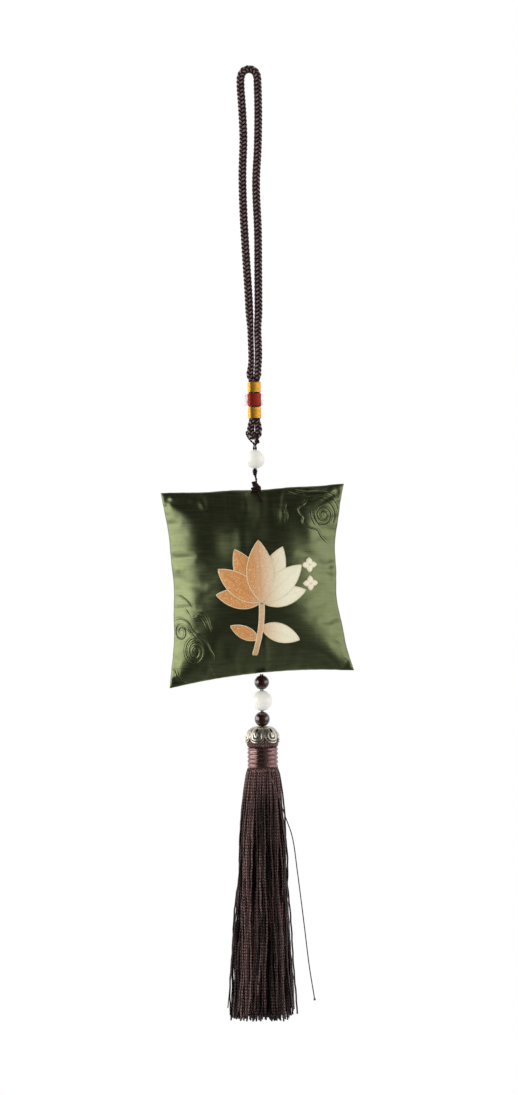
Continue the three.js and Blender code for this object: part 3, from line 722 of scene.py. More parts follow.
class CHARM_OT_braid(bpy.types.Operator):
    """Braid the hanging loop from flat strands that pass over and under each other"""
    bl_idname = "charm.braid"
    bl_label = "Braided loop"

    def execute(self, context):
        cord = context.scene.charm_cord
        path = smooth_path(CORD_ROUTE, ROUTE_STEP)
        run = run_of(path)[-1]
        count = cord.strands_each_way
        ring = OVER_STRANDS * cord.diameter - cord.strand_thickness / 2 - cord.strand_wave
        steps = round(run / STRAND_STEP)
        bm = bmesh.new()
        core = CORE_SHARE * ring
        wound_strand(bm, 0, core, core, 0, run, steps // 3, 8)
        keep(bm, "tint", [0.0] * len(bm.verts))
        keep(bm, "crest", [-1.0] * len(bm.verts))
        draw = random.Random(3)
        for hand in (1, -1):
            wound = bmesh.new()
            wound_strand(
                wound, ring, cord.strand_width, cord.strand_thickness, hand * cord.lead, run,
                steps,
            )
            for i in range(count):
                strand = wound.copy()
                turn = Matrix.Rotation(2 * math.pi * i / count, 3, "Z")
                bmesh.ops.rotate(strand, verts=strand.verts, matrix=turn)
                crest = []
                for vertex in strand.verts:
                    crossing = 2 * count * vertex.co.z / cord.lead
                    phase = crossing + 2 * i if hand > 0 else 2 * i - crossing
                    wave = hand * math.cos(math.pi / 2 * (phase - 0.5))
                    angle = 2 * math.pi * (i / count + hand * vertex.co.z / cord.lead)
                    away = Vector((math.cos(angle), math.sin(angle), 0))
                    vertex.co += away * wave * cord.strand_wave
                    crest.append(wave)
                keep(strand, "crest", crest)
                keep(strand, "tint", [draw.random()] * len(strand.verts))
                add(bm, strand)
            wound.free()
        keep_run(bm)
        bend_onto(bm, path)
        put(bm, draw_together(press_in_wrap(places(bm), cord.diameter)))
        material = braid_finish("braid_fibre", cord.fibre, cord.fibre_painted_highlight)
        loop = make_piece("braided_loop", bm, material, "hanger", "braided_cord", "hanging_cord")
        return {"FINISHED"}


FLAT_THREAD = 0.6
TURN_WOBBLE = 0.03 * MM
FUZZ_REACH = (0.5 * MM, 1.5 * MM)
FUZZ_THREAD = 0.1 * MM
BARE_RIGHT = 0.6


def wound_band(node, thread, pitch, draw, fuller=0.0):
    """Close turns of thread that fill a wrap's place."""
    low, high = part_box(node)
    depth = (high.y - low.y) / 2 - thread / 2 - WRAP_TRIM + fuller
    half_run = (high.x - low.x - high.y + low.y) / 2 - WRAP_TRIM
    height = high.z - low.z - thread
    turns = max(2, round(height / pitch))
    steps = 32 * turns
    bm = bmesh.new()
    wound_strand(bm, depth, thread, FLAT_THREAD * thread, height / turns, height, steps)
    wobble = [draw.uniform(-1, 1) for _ in range(turns + 2)]
    for vertex in bm.verts:
        x, y, z = vertex.co
        out = math.hypot(x, y)
        turn = z / height * turns + 1
        share = turn - math.floor(turn)
        own = wobble[int(turn)] * (1 - share) + wobble[min(int(turn) + 1, turns + 1)] * share
        grown = 1 + own * TURN_WOBBLE / out
        side = max(-1.0, min(1.0, 1.5 * x / out))
        vertex.co = (x * grown + side * half_run, y * grown, z)
    bmesh.ops.rotate(bm, verts=bm.verts, matrix=Matrix.Rotation(WRAP_TURN, 3, "Z"))
    centre = middle(node)
    shift(bm, (centre.x, centre.y, low.z + thread / 2))
    return bm


class CHARM_OT_wraps(bpy.types.Operator):
    """Wind gold, red and gold thread over the two strands of the cord"""
    bl_idname = "charm.wraps"
    bl_label = "Thread wraps"

    def execute(self, context):
        wrap = context.scene.charm_wrap
        draw = random.Random(5)
        gold = thread_finish("gold_thread", wrap.gold, 0.25, 0.22, metallic=0.8)
        red = thread_finish("red_thread", wrap.red, 0.5, 0.3, metallic=0.55)
        for node in (WRAPS[0], WRAPS[2]):
            bm = wound_band(node, wrap.thread, wrap.pitch, draw)
            make_piece("wound_" + node[5:], bm, gold, "hanger", "gold_thread", node)
        bm = wound_band(WRAPS[1], 1.1 * wrap.thread, 1.15 * wrap.pitch, draw, 0.1 * MM)
        ring = [v.co.copy() for v in bm.verts]
        centre = middle(WRAPS[1])
        for _ in range(wrap.fuzz):
            start = draw.choice(ring)
            out = Vector((start.x - centre.x, start.y, 0)).normalized()
            if out.x > 0 and draw.random() < BARE_RIGHT:
                continue
            reach = draw.uniform(*FUZZ_REACH)
            bow = Vector((-out.y, out.x, 0)) * draw.uniform(-0.7, 0.7)
            bow.z = draw.uniform(-0.5, 0.8)
            hair = [start - out * 0.2 * MM, start + out * reach * 0.5, start + (out + bow) * reach]
            add(bm, tube(smooth_path(hair, 0.25 * MM), FUZZ_THREAD, 3))
        make_piece("wound_red", bm, red, "hanger", "red_thread", WRAPS[1])
        return {"FINISHED"}


# The hitch's run through the bight to its knot, the tie's run, and the knots on the pillow's top edge
# as (place, diameter, string, tip); in millimetres and degrees, with x from the string's middle
HITCH = (
    (-0.1, -0.3, -154.4), (-1.2, -0.7, -153.6), (-2.6, -0.6, -151.9), (-3.4, 0.2, -150.2),
    (-3.2, 1.3, -149.3), (-1.9, 2.1, -149.1), (-0.5, 1.6, -149.3), (0, 0.2, -149.7),
    (0.2, -1.4, -150.1), (0.6, -2, -151.3), (0.9, -1.5, -152.6), (0.9, -0.5, -153.6),
)
TIE = ((-0.1, 0, -167.4), (0.25, 0, -168.6), (0.4, 0, -169.6), (0.2, 0, -171.2))
EDGE_KNOTS = (
    ((-0.5, -0.3, -170.9), 2.5, 1.0, 65), ((0.1, -0.5, -172), 3.2, 1.05, 30),
    ((1.1, -1.2, -173), 2.9, 1.0, 55), ((-0.7, -1.2, -173.3), 2.6, 1.0, 80),
)
HITCH_KNOT = (2.5 * MM, 0.8 * MM, 50)
HANGER_KNOT = (3 * MM, 0.9 * MM, 30)
TIE_STRING = 0.95 * MM
TAIL_STRING = 0.85 * MM
TAIL_SHARES = (0.35, 0.6, 0.8, 1.0)
TAIL_LIFT = 0.5 * MM
# Two passes side by side: the turn from end to end in radians, and the gap of their middles
PAIR_TWIST = 0.9
PAIR_GAP = 0.86 * MM
LOWER_GAP = 0.8 * MM
# The stopper knot: a coil round a core, which widens upwards from and by these shares
STOPPER_TURN = 0.85 * MM
STOPPER_RING = 0.78 * MM
STOPPER_CORE = 1.2 * MM
STOPPER_WIDTH = (0.62, 0.4)
STRING_STEP = 0.3 * MM
KNOT_HEIGHT = 0.75
KNOT_CORE = 0.36


def knot_path(centre, width, height, tip):
    """A trefoil drawn tight: the run of a string in a small knot."""
    t = np.linspace(0, 2 * math.pi, 61)
    x = (np.sin(t) + 2 * np.sin(2 * t)) / 3
    y = (np.cos(t) - 2 * np.cos(2 * t)) / 3
    z = -np.sin(3 * t)
    lean = math.radians(tip)
    y, z = y * math.cos(lean) - z * math.sin(lean), y * math.sin(lean) + z * math.cos(lean)
    return np.column_stack([x * width / 2, y * width / 2, z * height / 2]) + np.array(centre)


def string_knot(centre, diameter, string, tip):
    """A tight knot round a core that fills it."""
    around = knot_path(centre, diameter - string, KNOT_HEIGHT * (diameter - string), tip)
    bm = twisted(around, string, 2.2 * MM)
    ball = bmesh.new()
    ball.verts.layers.float.new("across")
    ball.verts.layers.float.new("along")
    bmesh.ops.create_icosphere(
        ball, subdivisions=2, radius=KNOT_CORE * diameter, matrix=Matrix.Translation(centre),
    )
    return add(bm, ball)


def doubled(top, foot, string, gap):
    """Two passes of string side by side, with a slight twist."""
    top, foot = Vector(top), Vector(foot)
    bm = bmesh.new()
    for side in (-1, 1):
        line = []
        for share in np.linspace(0, 1, 7):
            angle = PAIR_TWIST * share
            off = Vector((math.cos(angle), math.sin(angle), 0)) * side * gap / 2
            line.append(top.lerp(foot, share) + off)
        add(bm, twisted(smooth_path(line, 0.4 * MM), string, 2.6 * MM))
    return bm


class CHARM_OT_strings(bpy.types.Operator):
    """Tie the thin string: the hitch on the bight, the strings through the beads, the knots"""
    bl_idname = "charm.strings"
    bl_label = "Strings and knots"

    def execute(self, context):
        cord = context.scene.charm_cord
        thin = cord.string_diameter
        material = thread_finish("thin_string", cord.string_fibre, 0.6, 0.42, gloss=0.15)
        x = middle("hitch_loop").x

        def string_piece(name, bm, body, node):
            make_piece(name, bm, material, body, "thin_string", node)

        def near(dx, y, z):
            return Vector((x + dx * MM, y * MM, z * MM))

        loop = [near(*spot) for spot in HITCH]
        bm = twisted(smooth_path(loop, STRING_STEP), 1.4 * thin)
        add(bm, string_knot(loop[-1], *HITCH_KNOT))
        add(bm, doubled(near(0.05, -0.2, -153.8), near(0, 0, -155.55), 1.5 * thin, PAIR_GAP))
        string_piece("hitch_string", bm, "hitch", "hitch_loop")

        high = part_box("upper_string")[1]
        bm = doubled((x, 0, high.z + 0.3 * MM), near(0, 0, -165.6), 1.5 * thin, PAIR_GAP)
        string_piece("upper_bead_string", bm, "bead_string", "upper_string")

        low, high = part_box("lower_string")
        lower_x = middle("lower_string").x
        top = (lower_x, 0, high.z + 0.4 * MM)
        bm = doubled(top, (lower_x, 0, low.z), LOWER_GAP, LOWER_GAP)
        string_piece("lower_bead_string", bm, "lower_cord", "lower_string")

        low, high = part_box("stopper_knot")
        bm = bmesh.new()
        turn = STOPPER_TURN
        height = high.z - low.z - turn
        wound_strand(bm, STOPPER_RING, turn, turn, turn, height, 48, 8)
        wound_strand(bm, 0, STOPPER_CORE, STOPPER_CORE, 0, height, 6, 8)
        for vertex in bm.verts:
            wider = STOPPER_WIDTH[0] + STOPPER_WIDTH[1] * vertex.co.z / height
            vertex.co.x *= wider
            vertex.co.y *= wider
        keep_run(bm)
        shift(bm, (x - 0.1 * MM, 0, low.z + turn / 2))
        string_piece("bead_stopper", bm, "stopper", "stopper_knot")

        bm = twisted(smooth_path([near(*spot) for spot in TIE], STRING_STEP), TIE_STRING)
        string_piece("sachet_string", bm, "tie", "sachet_tie")

        surface = pillow_surface()
        bm = bmesh.new()
        for place, diameter, string, tip in EDGE_KNOTS:
            add(bm, string_knot(near(*place), diameter * MM, string * MM, tip))
        tail = [near(1.0, -1.6, -173.8)]
        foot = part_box("top_knot")[0].z
        for share in TAIL_SHARES:
            spot = near(1.1 + share * 1.5, 0, -174)
            spot.z += share * (foot - spot.z)
            tail.append(on_pillow(surface, spot.x, spot.z, TAIL_LIFT)[0])
        add(bm, twisted(smooth_path(tail, STRING_STEP), TAIL_STRING))
        string_piece("edge_knot", bm, "sachet", "top_knot")

        low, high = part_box("tassel_string")
        knot_at = Vector((middle("tassel_string").x, 0, low.z + 1.5 * MM))
        bm = doubled((knot_at.x, 0, high.z), knot_at, LOWER_GAP, LOWER_GAP)
        add(bm, string_knot(knot_at, *HANGER_KNOT))
        string_piece("tassel_hanger", bm, "tassel_cord", "tassel_string")
        return {"FINISHED"}


# Pillow

# Small waves of three seams: their height, and the radians from the middle to an end with the start
SEAM_WAVE = 0.22 * MM
HEAD_WAVE = (9.5, 0.6)
LEFT_WAVE = (11, 1.2)
RIGHT_WAVE = (10.5, -3.9)
# The four corners, from the top left and clockwise, as shares of half the width and height
CORNER_SHARES = ((-0.992, 1.004), (1.003, 0.996), (1, -0.959), (-1.013, -1.041))
PILLOW_CENTRE = Vector((0.5 * MM, 0, -212.8 * MM))
# How much the cells crowd towards the seams, and the crown's share that the panels have at first
CROWDING = 0.18
UNFILLED = 0.86
# The cloth is filled ten times as large, because the solver is made for garments
SIM_SCALE = 10
CLOTH_FRAMES = 24
CLOTH_REACH = 8 * MM
CLOTH = {
    "quality": 6, "mass": 0.3, "tension_stiffness": 12, "compression_stiffness": 12,
    "shear_stiffness": 4, "bending_stiffness": 0.35, "use_pressure": True,
}


def panel(s, t):
    """Where a place on the square panel lies in the pillow's own plane; s and t run from -1 to 1."""
    pillow = bpy.context.scene.charm_pillow
    half = np.array([pillow.width, pillow.height]) / 2
    tl, tr, br, bl = (np.array(share) * half for share in CORNER_SHARES)
    s, t = np.asarray(s, float)[..., None], np.asarray(t, float)[..., None]
    u, v = (s + 1) / 2, (t + 1) / 2
    right, up = np.array([1.0, 0]), np.array([0, 1.0])
    foot = bl + (br - bl) * u + up * pillow.bottom_pull * (1 - s * s)
    head = tl + (tr - tl) * u - up * pillow.top_pull * (1 - s * s)
    head = head - up * SEAM_WAVE * (1 - s * s) * np.sin(HEAD_WAVE[0] * s + HEAD_WAVE[1])
    left = bl + (tl - bl) * v + right * pillow.left_pull * (1 - t * t)
    left = left + right * SEAM_WAVE * (1 - t * t) * np.sin(LEFT_WAVE[0] * t + LEFT_WAVE[1])
    side = br + (tr - br) * v - right * pillow.right_pull * (1 - t * t)
    wave = np.cos(RIGHT_WAVE[0] * t + RIGHT_WAVE[1])
    side = side - right * 1.6 * SEAM_WAVE * (1 - t * t) * wave
    flat = (bl + (br - bl) * u) * (1 - v) + (tl + (tr - tl) * u) * v
    return foot * (1 - v) + head * v + left * (1 - u) + side * u - flat


def hang(a, depth, b):
    """A place in the pillow's own upright plane, moved to where the pillow hangs askew."""
    tilt = bpy.context.scene.charm_pillow.tilt
    centre = PILLOW_CENTRE
    x = centre.x + a * math.cos(tilt) - b * math.sin(tilt)
    z = centre.z + a * math.sin(tilt) + b * math.cos(tilt)
    return np.stack(np.broadcast_arrays(x, depth, z), axis=-1)


def laid_flat(coords):
    """Where hung places lie in the pillow's own plane."""
    tilt = bpy.context.scene.charm_pillow.tilt
    dx, dz = coords[:, 0] - PILLOW_CENTRE.x, coords[:, 2] - PILLOW_CENTRE.z
    a = dx * math.cos(tilt) + dz * math.sin(tilt)
    b = dz * math.cos(tilt) - dx * math.sin(tilt)
    return np.column_stack([a, b])


def cloth_panels(cells, crown_height):
    """Front and back panels sewn together along their edges, lightly filled."""
    bm = bmesh.new()
    bmesh.ops.create_grid(bm, x_segments=cells, y_segments=cells, size=1)
    seam = [v.is_boundary for v in bm.verts]
    flat = places(bm)
    s, t = (c + CROWDING * c * (1 - c * c) for c in (flat[:, 0], flat[:, 1]))
    crown = np.sqrt(np.clip((1 - s * s) * (1 - t * t), 0, 1))
    plan = panel(s, t)
    put(bm, np.column_stack([plan[:, 0], -crown_height * crown, plan[:, 1]]))
    keep(bm, "seam", [float(x) for x in seam])
    copy = bmesh.ops.duplicate(bm, geom=bm.verts[:] + bm.edges[:] + bm.faces[:])["geom"]
    back = [g for g in copy if isinstance(g, bmesh.types.BMVert)]
    bmesh.ops.scale(bm, vec=(1, -1, 1), verts=back)
    bmesh.ops.remove_doubles(bm, verts=bm.verts, dist=0.0001 * MM)
    face_out(bm)
    return bm


def inflate(bm, pillow):
    """Fills the sewn panels by a cloth simulation whose seams are held, and caps each move."""
    start = places(bm)
    mesh = bpy.data.meshes.new("cloth")
    put(bm, start * SIM_SCALE)
    bm.to_mesh(mesh)
    cloth_object = linked("cloth", mesh)
    held = cloth_object.vertex_groups.new(name="held")
    layer = bm.verts.layers.float["seam"]
    held.add([v.index for v in bm.verts if v[layer] > 0.5], 1.0, "REPLACE")
    cloth = cloth_object.modifiers.new("cloth", "CLOTH")
    for key, value in CLOTH.items():
        setattr(cloth.settings, key, value)
    cloth.settings.uniform_pressure_force = pillow.pressure
    cloth.settings.shrink_min = -pillow.growth
    cloth.settings.vertex_group_mass = held.name
    cloth.settings.effector_weights.gravity = 0
    cloth.point_cache.frame_start = 1
    cloth.point_cache.frame_end = CLOTH_FRAMES
    scene = bpy.context.scene
    for number in range(1, CLOTH_FRAMES + 1):
        scene.frame_set(number)
    filled = cloth_object.evaluated_get(bpy.context.evaluated_depsgraph_get())
    moved = np.array([v.co for v in filled.data.vertices]) / SIM_SCALE
    scene.frame_set(1)
    bpy.data.objects.remove(cloth_object)
    move = moved - start
    far = np.linalg.norm(move, axis=1)[:, None]
    put(bm, start + move * np.minimum(1, CLOTH_REACH / np.maximum(far, 1e-9)))


# Woven cloud scrolls, in the pillow's own millimetres: lines, and spirals as (middle, first and
# last radius, height over width, first angle, turns)
SCROLL_LINES = (
    ((-35.1, -13.1), (-32.8, -12.6), (-29.7, -14.3), (-27.5, -18.2), (-24.2, -20.8),
     (-22, -23.5), (-20.8, -26.5), (-19.6, -28.9), (-19.8, -31.8)),
    ((-33.7, -2.4), (-31.1, -4), (-28.9, -6.1), (-27.7, -8.4)),
    ((-30.8, -8.4), (-29.4, -10.2), (-28.6, -11.7)),
    ((-26, -11.6), (-23.6, -10.8), (-21.7, -13), (-20.7, -16), (-19.7, -19)),
    ((-27.4, -12.6), (-24.6, -12.2), (-23, -14.2), (-22, -16.6)),
    ((-37.1, -32.9), (-36.2, -34.7), (-35.7, -36.8)),
    ((-35.4, -33.9), (-34.6, -36.9), (-32.8, -38.6), (-29.9, -39.5)),
    ((27.3, 34.9), (29.9, 33.8), (32.4, 31.9), (33.9, 28.8), (34.1, 25.9), (32.7, 22.8)),
    ((25.5, 29.9), (25.5, 27.6), (26.3, 25), (27.4, 23.1)),
    ((24, 29.2), (24.1, 26.8), (24.9, 24.4), (26, 22.6)),
    ((22.6, 33.9), (21.5, 32.3), (18.8, 30.5), (19.3, 28.6), (20.6, 26.6), (20.2, 25),
     (21.1, 23.4), (23.8, 22), (26.3, 21), (27.8, 18), (30, 15.6)),
    ((14, 38.2), (18, 36.4), (23, 35.2), (28, 35.4), (32, 34.4), (35, 31.5), (35.6, 28)),
    ((17, 38.6), (22, 37.3), (28, 37), (33, 36), (36, 33)),
    ((14.2, 33.5), (13.4, 31), (14.2, 28.6), (13.8, 25.4)),
    ((-31, -16), (-28.4, -19), (-26.5, -21.4)), ((-21.5, -33), (-20.4, -36), (-18.6, -38.5)),
)
SCROLL_SPIRALS = (
    ((-32.7, -18.2), 0.9, 2.7, 1.4, 250, -1.5),
    ((-27.3, -26.6), 1.1, 4.4, 1.3, 200, -2.3),
    ((29.2, 27.2), 0.7, 3.9, 1.15, 230, -2.2),
)


# Folds in the satin, in the pillow's own millimetres: from, to, width and rise
FOLDS = (
    (0.7, -39.5, 1.8, -22, 1.8, 1.0), (5, -39, 6.8, -25, 2.4, -0.6),
    (-3.6, 38, -2.6, 30, 2.2, 0.9), (7.4, 38, 6.6, 22, 4.0, -1.3),
    (12.9, 36, 12, 25, 0.9, 0.5), (-4.6, 27, -5.4, 12, 3.0, 0.6),
    (-18, 25, -16, 8, 6.5, -1.4), (-13.5, -20, -15, -31, 3.8, -1.0),
    (-34, 37, -21, 32, 2.2, -0.8), (-37, 39, -30, 36, 1.0, 0.5),
    (37, 38, 15, 36.2, 0.8, 0.4), (37, 37.6, 18, 33.4, 0.8, 0.4), (36.6, 37, 27, 31.5, 0.9, -0.3),
    (38, 36, 36, 28, 0.8, 0.4), (33, 13.5, 37, 13, 1.1, 0.5), (31, 6, 36, 6.8, 1.3, -0.45),
    (31, -5, 36, -6.2, 1.3, 0.5), (32, -15, 37, -17, 1.2, -0.4), (32, -25, 38, -28, 1.4, 0.5),
    (-37, 21, -32, 19, 1.4, 0.35), (-36, 9, -31, 8, 1.3, 0.4), (-36, 0, -32, -1, 1.2, -0.3),
    (-22, 38, -19, 31, 1.6, 0.5), (21, 30, 25, 12, 3.2, 0.55), (-27, 5, -29, -22, 4.5, 0.6),
    (-9, -37, -6, -26, 2.2, -0.6), (13, -38, 15, -29, 2.4, 0.5),
    (-25, -40, -22.5, -34, 1.4, 0.5), (-12, -40, -10, -35, 1.3, 0.4), (20, -38, 18, -32, 1.5, 0.45),
    (30, -37, 24, -31, 1.6, -0.5), (24, 22, 30, -12, 7.0, -0.5),
)
FOLD_RISE = 1.35
FOLD_FADE = 2.5 * MM
# What lies further back than this is no part of the front's pattern
FRONT_Y = -0.5 * MM
SCROLL_FADE = 2 * MM
FINE_MARGIN = 0.45 * MM
# A scroll's half width and its groove's middle and half width, as shares of the line's width, and
# the groove's depth as a share of the rise
RIDGE_HALF = 0.45
GROOVE_MIDDLE = 1.05
GROOVE_HALF = 0.4
GROOVE_DEPTH = 0.45
RAY_START = 0.06


def fold_satin(coords):
    """Raises and sinks the folds on the front, and a fainter mirrored set on the back."""
    for side, mirrored, strength in ((-1, 1, 1.0), (1, -1, 0.7)):
        facing = coords[:, 1] * side > 0
        flat = coords[facing][:, [0, 2]] * (mirrored, 1)
        fade = np.clip(np.abs(coords[facing, 1]) / FOLD_FADE, 0, 1)
        move = np.zeros(len(flat))
        for x1, z1, x2, z2, width, rise in FOLDS:
            start, run = np.array([x1, z1]) * MM, np.array([x2 - x1, z2 - z1]) * MM
            share = np.clip((flat - start) @ run / (run @ run), 0, 1)
            gap = np.linalg.norm(flat - start - share[:, None] * run, axis=1)
            taper = 0.4 + 0.6 * np.sin(np.pi * np.clip(share, 0.02, 0.98))
            move += FOLD_RISE * rise * MM * taper * np.exp(-((gap / (width * MM)) ** 2))
        coords[facing, 1] += side * fade * strength * move
    return coords


def scroll_curves():
    """The scrolls' middle lines in the pillow's own plane, in metres."""
    curves = []
    for line in SCROLL_LINES:
        flat = [(x * MM, 0, z * MM) for x, z in line]
        curves.append(smooth_path(flat, 0.2 * MM)[:, [0, 2]])
    for (x, z), first, last, tall, start, turns in SCROLL_SPIRALS:
        t = np.linspace(0, 1, 160)
        angle = math.radians(start) + 2 * math.pi * turns * t
        radius = first + (last - first) * t
        spiral = np.column_stack([x + radius * np.cos(angle), z + tall * radius * np.sin(angle)])
        curves.append(spiral * MM)
    return curves


def emboss_scrolls(bm, rise, width):
    """Raises the scrolls' lines on the front, beside a shallow groove, in finer cells."""
    curves = scroll_curves()
    dots = np.vstack(curves)
    runs = [run_of(curve) for curve in curves]
    ends = np.concatenate([np.minimum(run, run[-1] - run) for run in runs])

    def nearest(coords):
        """How far each place is from a scroll's line, and how far that is from the line's end."""
        flat = laid_flat(coords)
        gap = np.linalg.norm(flat[:, None, :] - dots[None, :, :], axis=2)
        which = gap.argmin(axis=1)
        return gap[np.arange(len(flat)), which], ends[which]

    centres = np.array([f.calc_center_median() for f in bm.faces])
    facing = centres[:, 1] < FRONT_Y
    close = np.zeros(len(centres), bool)
    close[facing] = nearest(centres[facing])[0] < 1.6 * width + FINE_MARGIN
    chosen = {e for f, use in zip(bm.faces, close) if use for e in f.edges}
    bmesh.ops.subdivide_edges(bm, edges=list(chosen), cuts=4, use_grid_fill=True)
    coords = places(bm)
    front = coords[:, 1] < FRONT_Y
    away, end = nearest(coords[front])
    ridge = np.exp(-((away / (RIDGE_HALF * width)) ** 2))
    groove = np.exp(-(((away - GROOVE_MIDDLE * width) / (GROOVE_HALF * width)) ** 2))
    fade = np.clip(end / SCROLL_FADE, 0.25, 1)
    coords[front, 1] -= rise * fade * (ridge - GROOVE_DEPTH * groove)
    put(bm, coords)


def pillow_surface():
    """The finished pillow as a tree for rays."""
    mesh = bpy.data.objects["satin_pillow"].data
    return BVHTree.FromPolygons([v.co for v in mesh.vertices], [p.vertices for p in mesh.polygons])


def on_pillow(surface, x, z, lift, side=-1):
    """The place in front of the pillow's face at x and z, and the way out of the cloth there."""
    start = Vector((x, side * RAY_START, z))
    place, normal, _, _ = surface.ray_cast(start, Vector((0, -side, 0)))
    if place is None:
        place, normal, _, _ = surface.find_nearest(start)
    if normal.y * side < 0:
        normal = -normal
    return place + normal * lift, normal


class CHARM_OT_pillow(bpy.types.Operator):
    """Sew two satin panels together, fill them, and raise the woven cloud scrolls"""
    bl_idname = "charm.pillow"
    bl_label = "Satin pillow"

    def execute(self, context):
        pillow = context.scene.charm_pillow
        needle = context.scene.charm_needle
        crown = pillow.thickness / 2
        bm = cloth_panels(pillow.cells, UNFILLED * crown)
        inflate(bm, pillow)
        coords = places(bm)
        coords[:, 1] *= crown / abs(coords[:, 1]).max()
        put(bm, coords)
        panels = linked("panels", mesh_of("panels", bm))
        finer = panels.modifiers.new("finer", "SUBSURF")
        finer.levels = finer.render_levels = 1
        shown = panels.evaluated_get(context.evaluated_depsgraph_get())
        bm = bmesh.new()
        bm.from_mesh(shown.data)
        bpy.data.objects.remove(panels)
        coords = fold_satin(places(bm))
        put(bm, hang(coords[:, 0], coords[:, 1], coords[:, 2]))
        emboss_scrolls(bm, needle.scroll_rise, needle.scroll_width)
        satin = make_piece(
            "satin_pillow", bm, satin_finish(pillow), "sachet", "green_satin",
            "cover_front", "cover_back",
        )
        return {"FINISHED"}


def stuffed(cells, place):
    """A closed body of two grids joined at their edges; place gives a grid's points."""
    bm = bmesh.new()
    rims = []
    for side in (0, 1):
        made = bmesh.ops.create_grid(bm, x_segments=cells, y_segments=cells, size=1)["verts"]
        for vertex in made:
            vertex.co = place(vertex.co.x, vertex.co.y, side)
        rims += [e for e in {e for v in made for e in v.link_edges} if e.is_boundary]
    bmesh.ops.bridge_loops(bm, edges=rims)
    return bm


# A wad's share of the panel, its gap to the satin, its least depth, and its pocket for the packet
WAD_SHARE = 0.93
WAD_GAP = 2.2 * MM
LEAST_ROOM = 0.3 * MM
POCKET_MARGIN = 1.15
POCKET_GAP = 0.4 * MM
WADS_GAP = 0.2 * MM
WAD_UNEVEN = 0.05
# The packet's half width and height, and its seam's share of the thickness and where it begins
PACKET_HALF = (17, 14)
PACKET_SEAM = 0.12
PACKET_EDGE = 0.92


class CHARM_OT_filling(bpy.types.Operator):
    """Fill the pillow: two wads of fibre with the herb packet between them"""
    bl_idname = "charm.filling"
    bl_label = "Filling and packet"

    def execute(self, context):
        surface = pillow_surface()
        low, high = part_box("herb_packet")
        packet_half = (high - low) / 2
        draw = random.Random(8)

        def wad_place(side):
            def place(s, t, layer):
                a, b = panel(s, t) * WAD_SHARE
                x, _, z = hang(a, 0.0, b)
                outer = on_pillow(surface, x, z, 0.0, side)[0].y
                room = max(LEAST_ROOM, abs(outer) - WAD_GAP)
                inside = max(abs(a) / packet_half.x, abs(b) / packet_half.z) < POCKET_MARGIN
                pocket = packet_half.y + POCKET_GAP if inside else WADS_GAP
                depth = min(pocket, 0.8 * room)
                if layer:
                    depth = room * (1 - WAD_UNEVEN * draw.random())
                return (x, side * depth, z)
            return place

        fluff = fibre_finish("filling_fibre", srgb(238, 234, 224), 1.4)
        for name, node, side in (
            ("fibre_front", "filling_front", -1), ("fibre_back", "filling_back", 1),
        ):
            bm = stuffed(26, wad_place(side))
            make_piece(name, bm, fluff, "sachet", "fibre_filling", node)

        def packet_place(s, t, layer):
            crown = 0.0
            if max(abs(s), abs(t)) < PACKET_EDGE:
                crown = math.sqrt(max(0.0, (1 - (s * 1.08) ** 2) * (1 - (t * 1.08) ** 2)))
            depth = (PACKET_SEAM + 0.8 * crown) * packet_half.y * (1 if layer else -1)
            spot = Vector(hang(s * PACKET_HALF[0] * MM, depth, t * PACKET_HALF[1] * MM))
            return spot - PILLOW_CENTRE + (low + high) / 2

        paper = fibre_finish("packet_paper", srgb(206, 190, 150), 0.5)
        bm = stuffed(22, packet_place)
        make_piece("herb_sachet", bm, paper, "sachet", "herb_packet", "herb_packet")
        return {"FINISHED"}


# Gold thread work, in millimetres in the pillow's own plane

PETAL_FOOT = (0.75, 0.3)
PETAL_TIP = (0.5, 0.75)
BLOSSOM_FOOT = (1.4, -7.5)
# Length, width and turn of each petal, and how many layers lie under it
PETALS = (
    (19, 8.5, 78, 0), (19, 8.5, -78, 0), (22.5, 10, 50, 1), (22.5, 10, -50, 1),
    (24.5, 10.5, 24, 0), (24.5, 10.5, -24, 0), (25.5, 11.5, 0, 2),
)
STEM_FOOT = (1.4, -8.1)
STEM_LENGTH = 21
STEM_WIDTH = 2
STEM_LEAN = 4
# Length, width and turn, and the share of the stem at which each grows from it
LEAF = (17, 8, -112, 0.45)
BUD = (13, 5.5, 62, 0.7)
FLORETS = ((22, 6.8), (22, -0.8))
FLORET_PETAL = (3, 2.4)
LAYER_RISE = 0.26
DOME_RISE = 0.34
STITCH_LIFT = 0.15
STITCH_FOOT = 0.08
RIM_LIFT = 0.12
# Between these two places the thread's colour turns from warm gold to a pale painted highlight on the
# right
GOLD_HIGHLIGHT_SPAN = (-4, 14)
LONG_CELLS = 30
CROSS_CELLS = 12


def petal_half(q):
    """Half the width and the height of a petal's outline, as shares, for q from foot to tip."""
    foot, tip = 3 * (1 - q) ** 2 * q, 3 * (1 - q) * q * q
    return foot * PETAL_FOOT[0] + tip * PETAL_TIP[0], foot * PETAL_FOOT[1] + tip * PETAL_TIP[1] + q ** 3


def petal_outline(foot, length_mm, width_mm, turn):
    """A function from (across, share) to the place on the petal."""
    angle = math.radians(turn)

    def outline(p, q):
        half, up = petal_half(q)
        x, z = p * half * width_mm, up * length_mm
        return (
            foot[0] + x * math.cos(angle) - z * math.sin(angle),
            foot[1] + x * math.sin(angle) + z * math.cos(angle),
        )
    return outline


def stem_outline(p, q):
    return STEM_FOOT[0] - STEM_LEAN * q * q + p * STEM_WIDTH / 2, STEM_FOOT[1] - STEM_LENGTH * q


def laid(surface, place, lift):
    """A place of the pattern on the pillow's front, and the way out of the cloth there."""
    x, _, z = hang(place[0] * MM, 0.0, place[1] * MM)
    return on_pillow(surface, x, z, lift * MM)


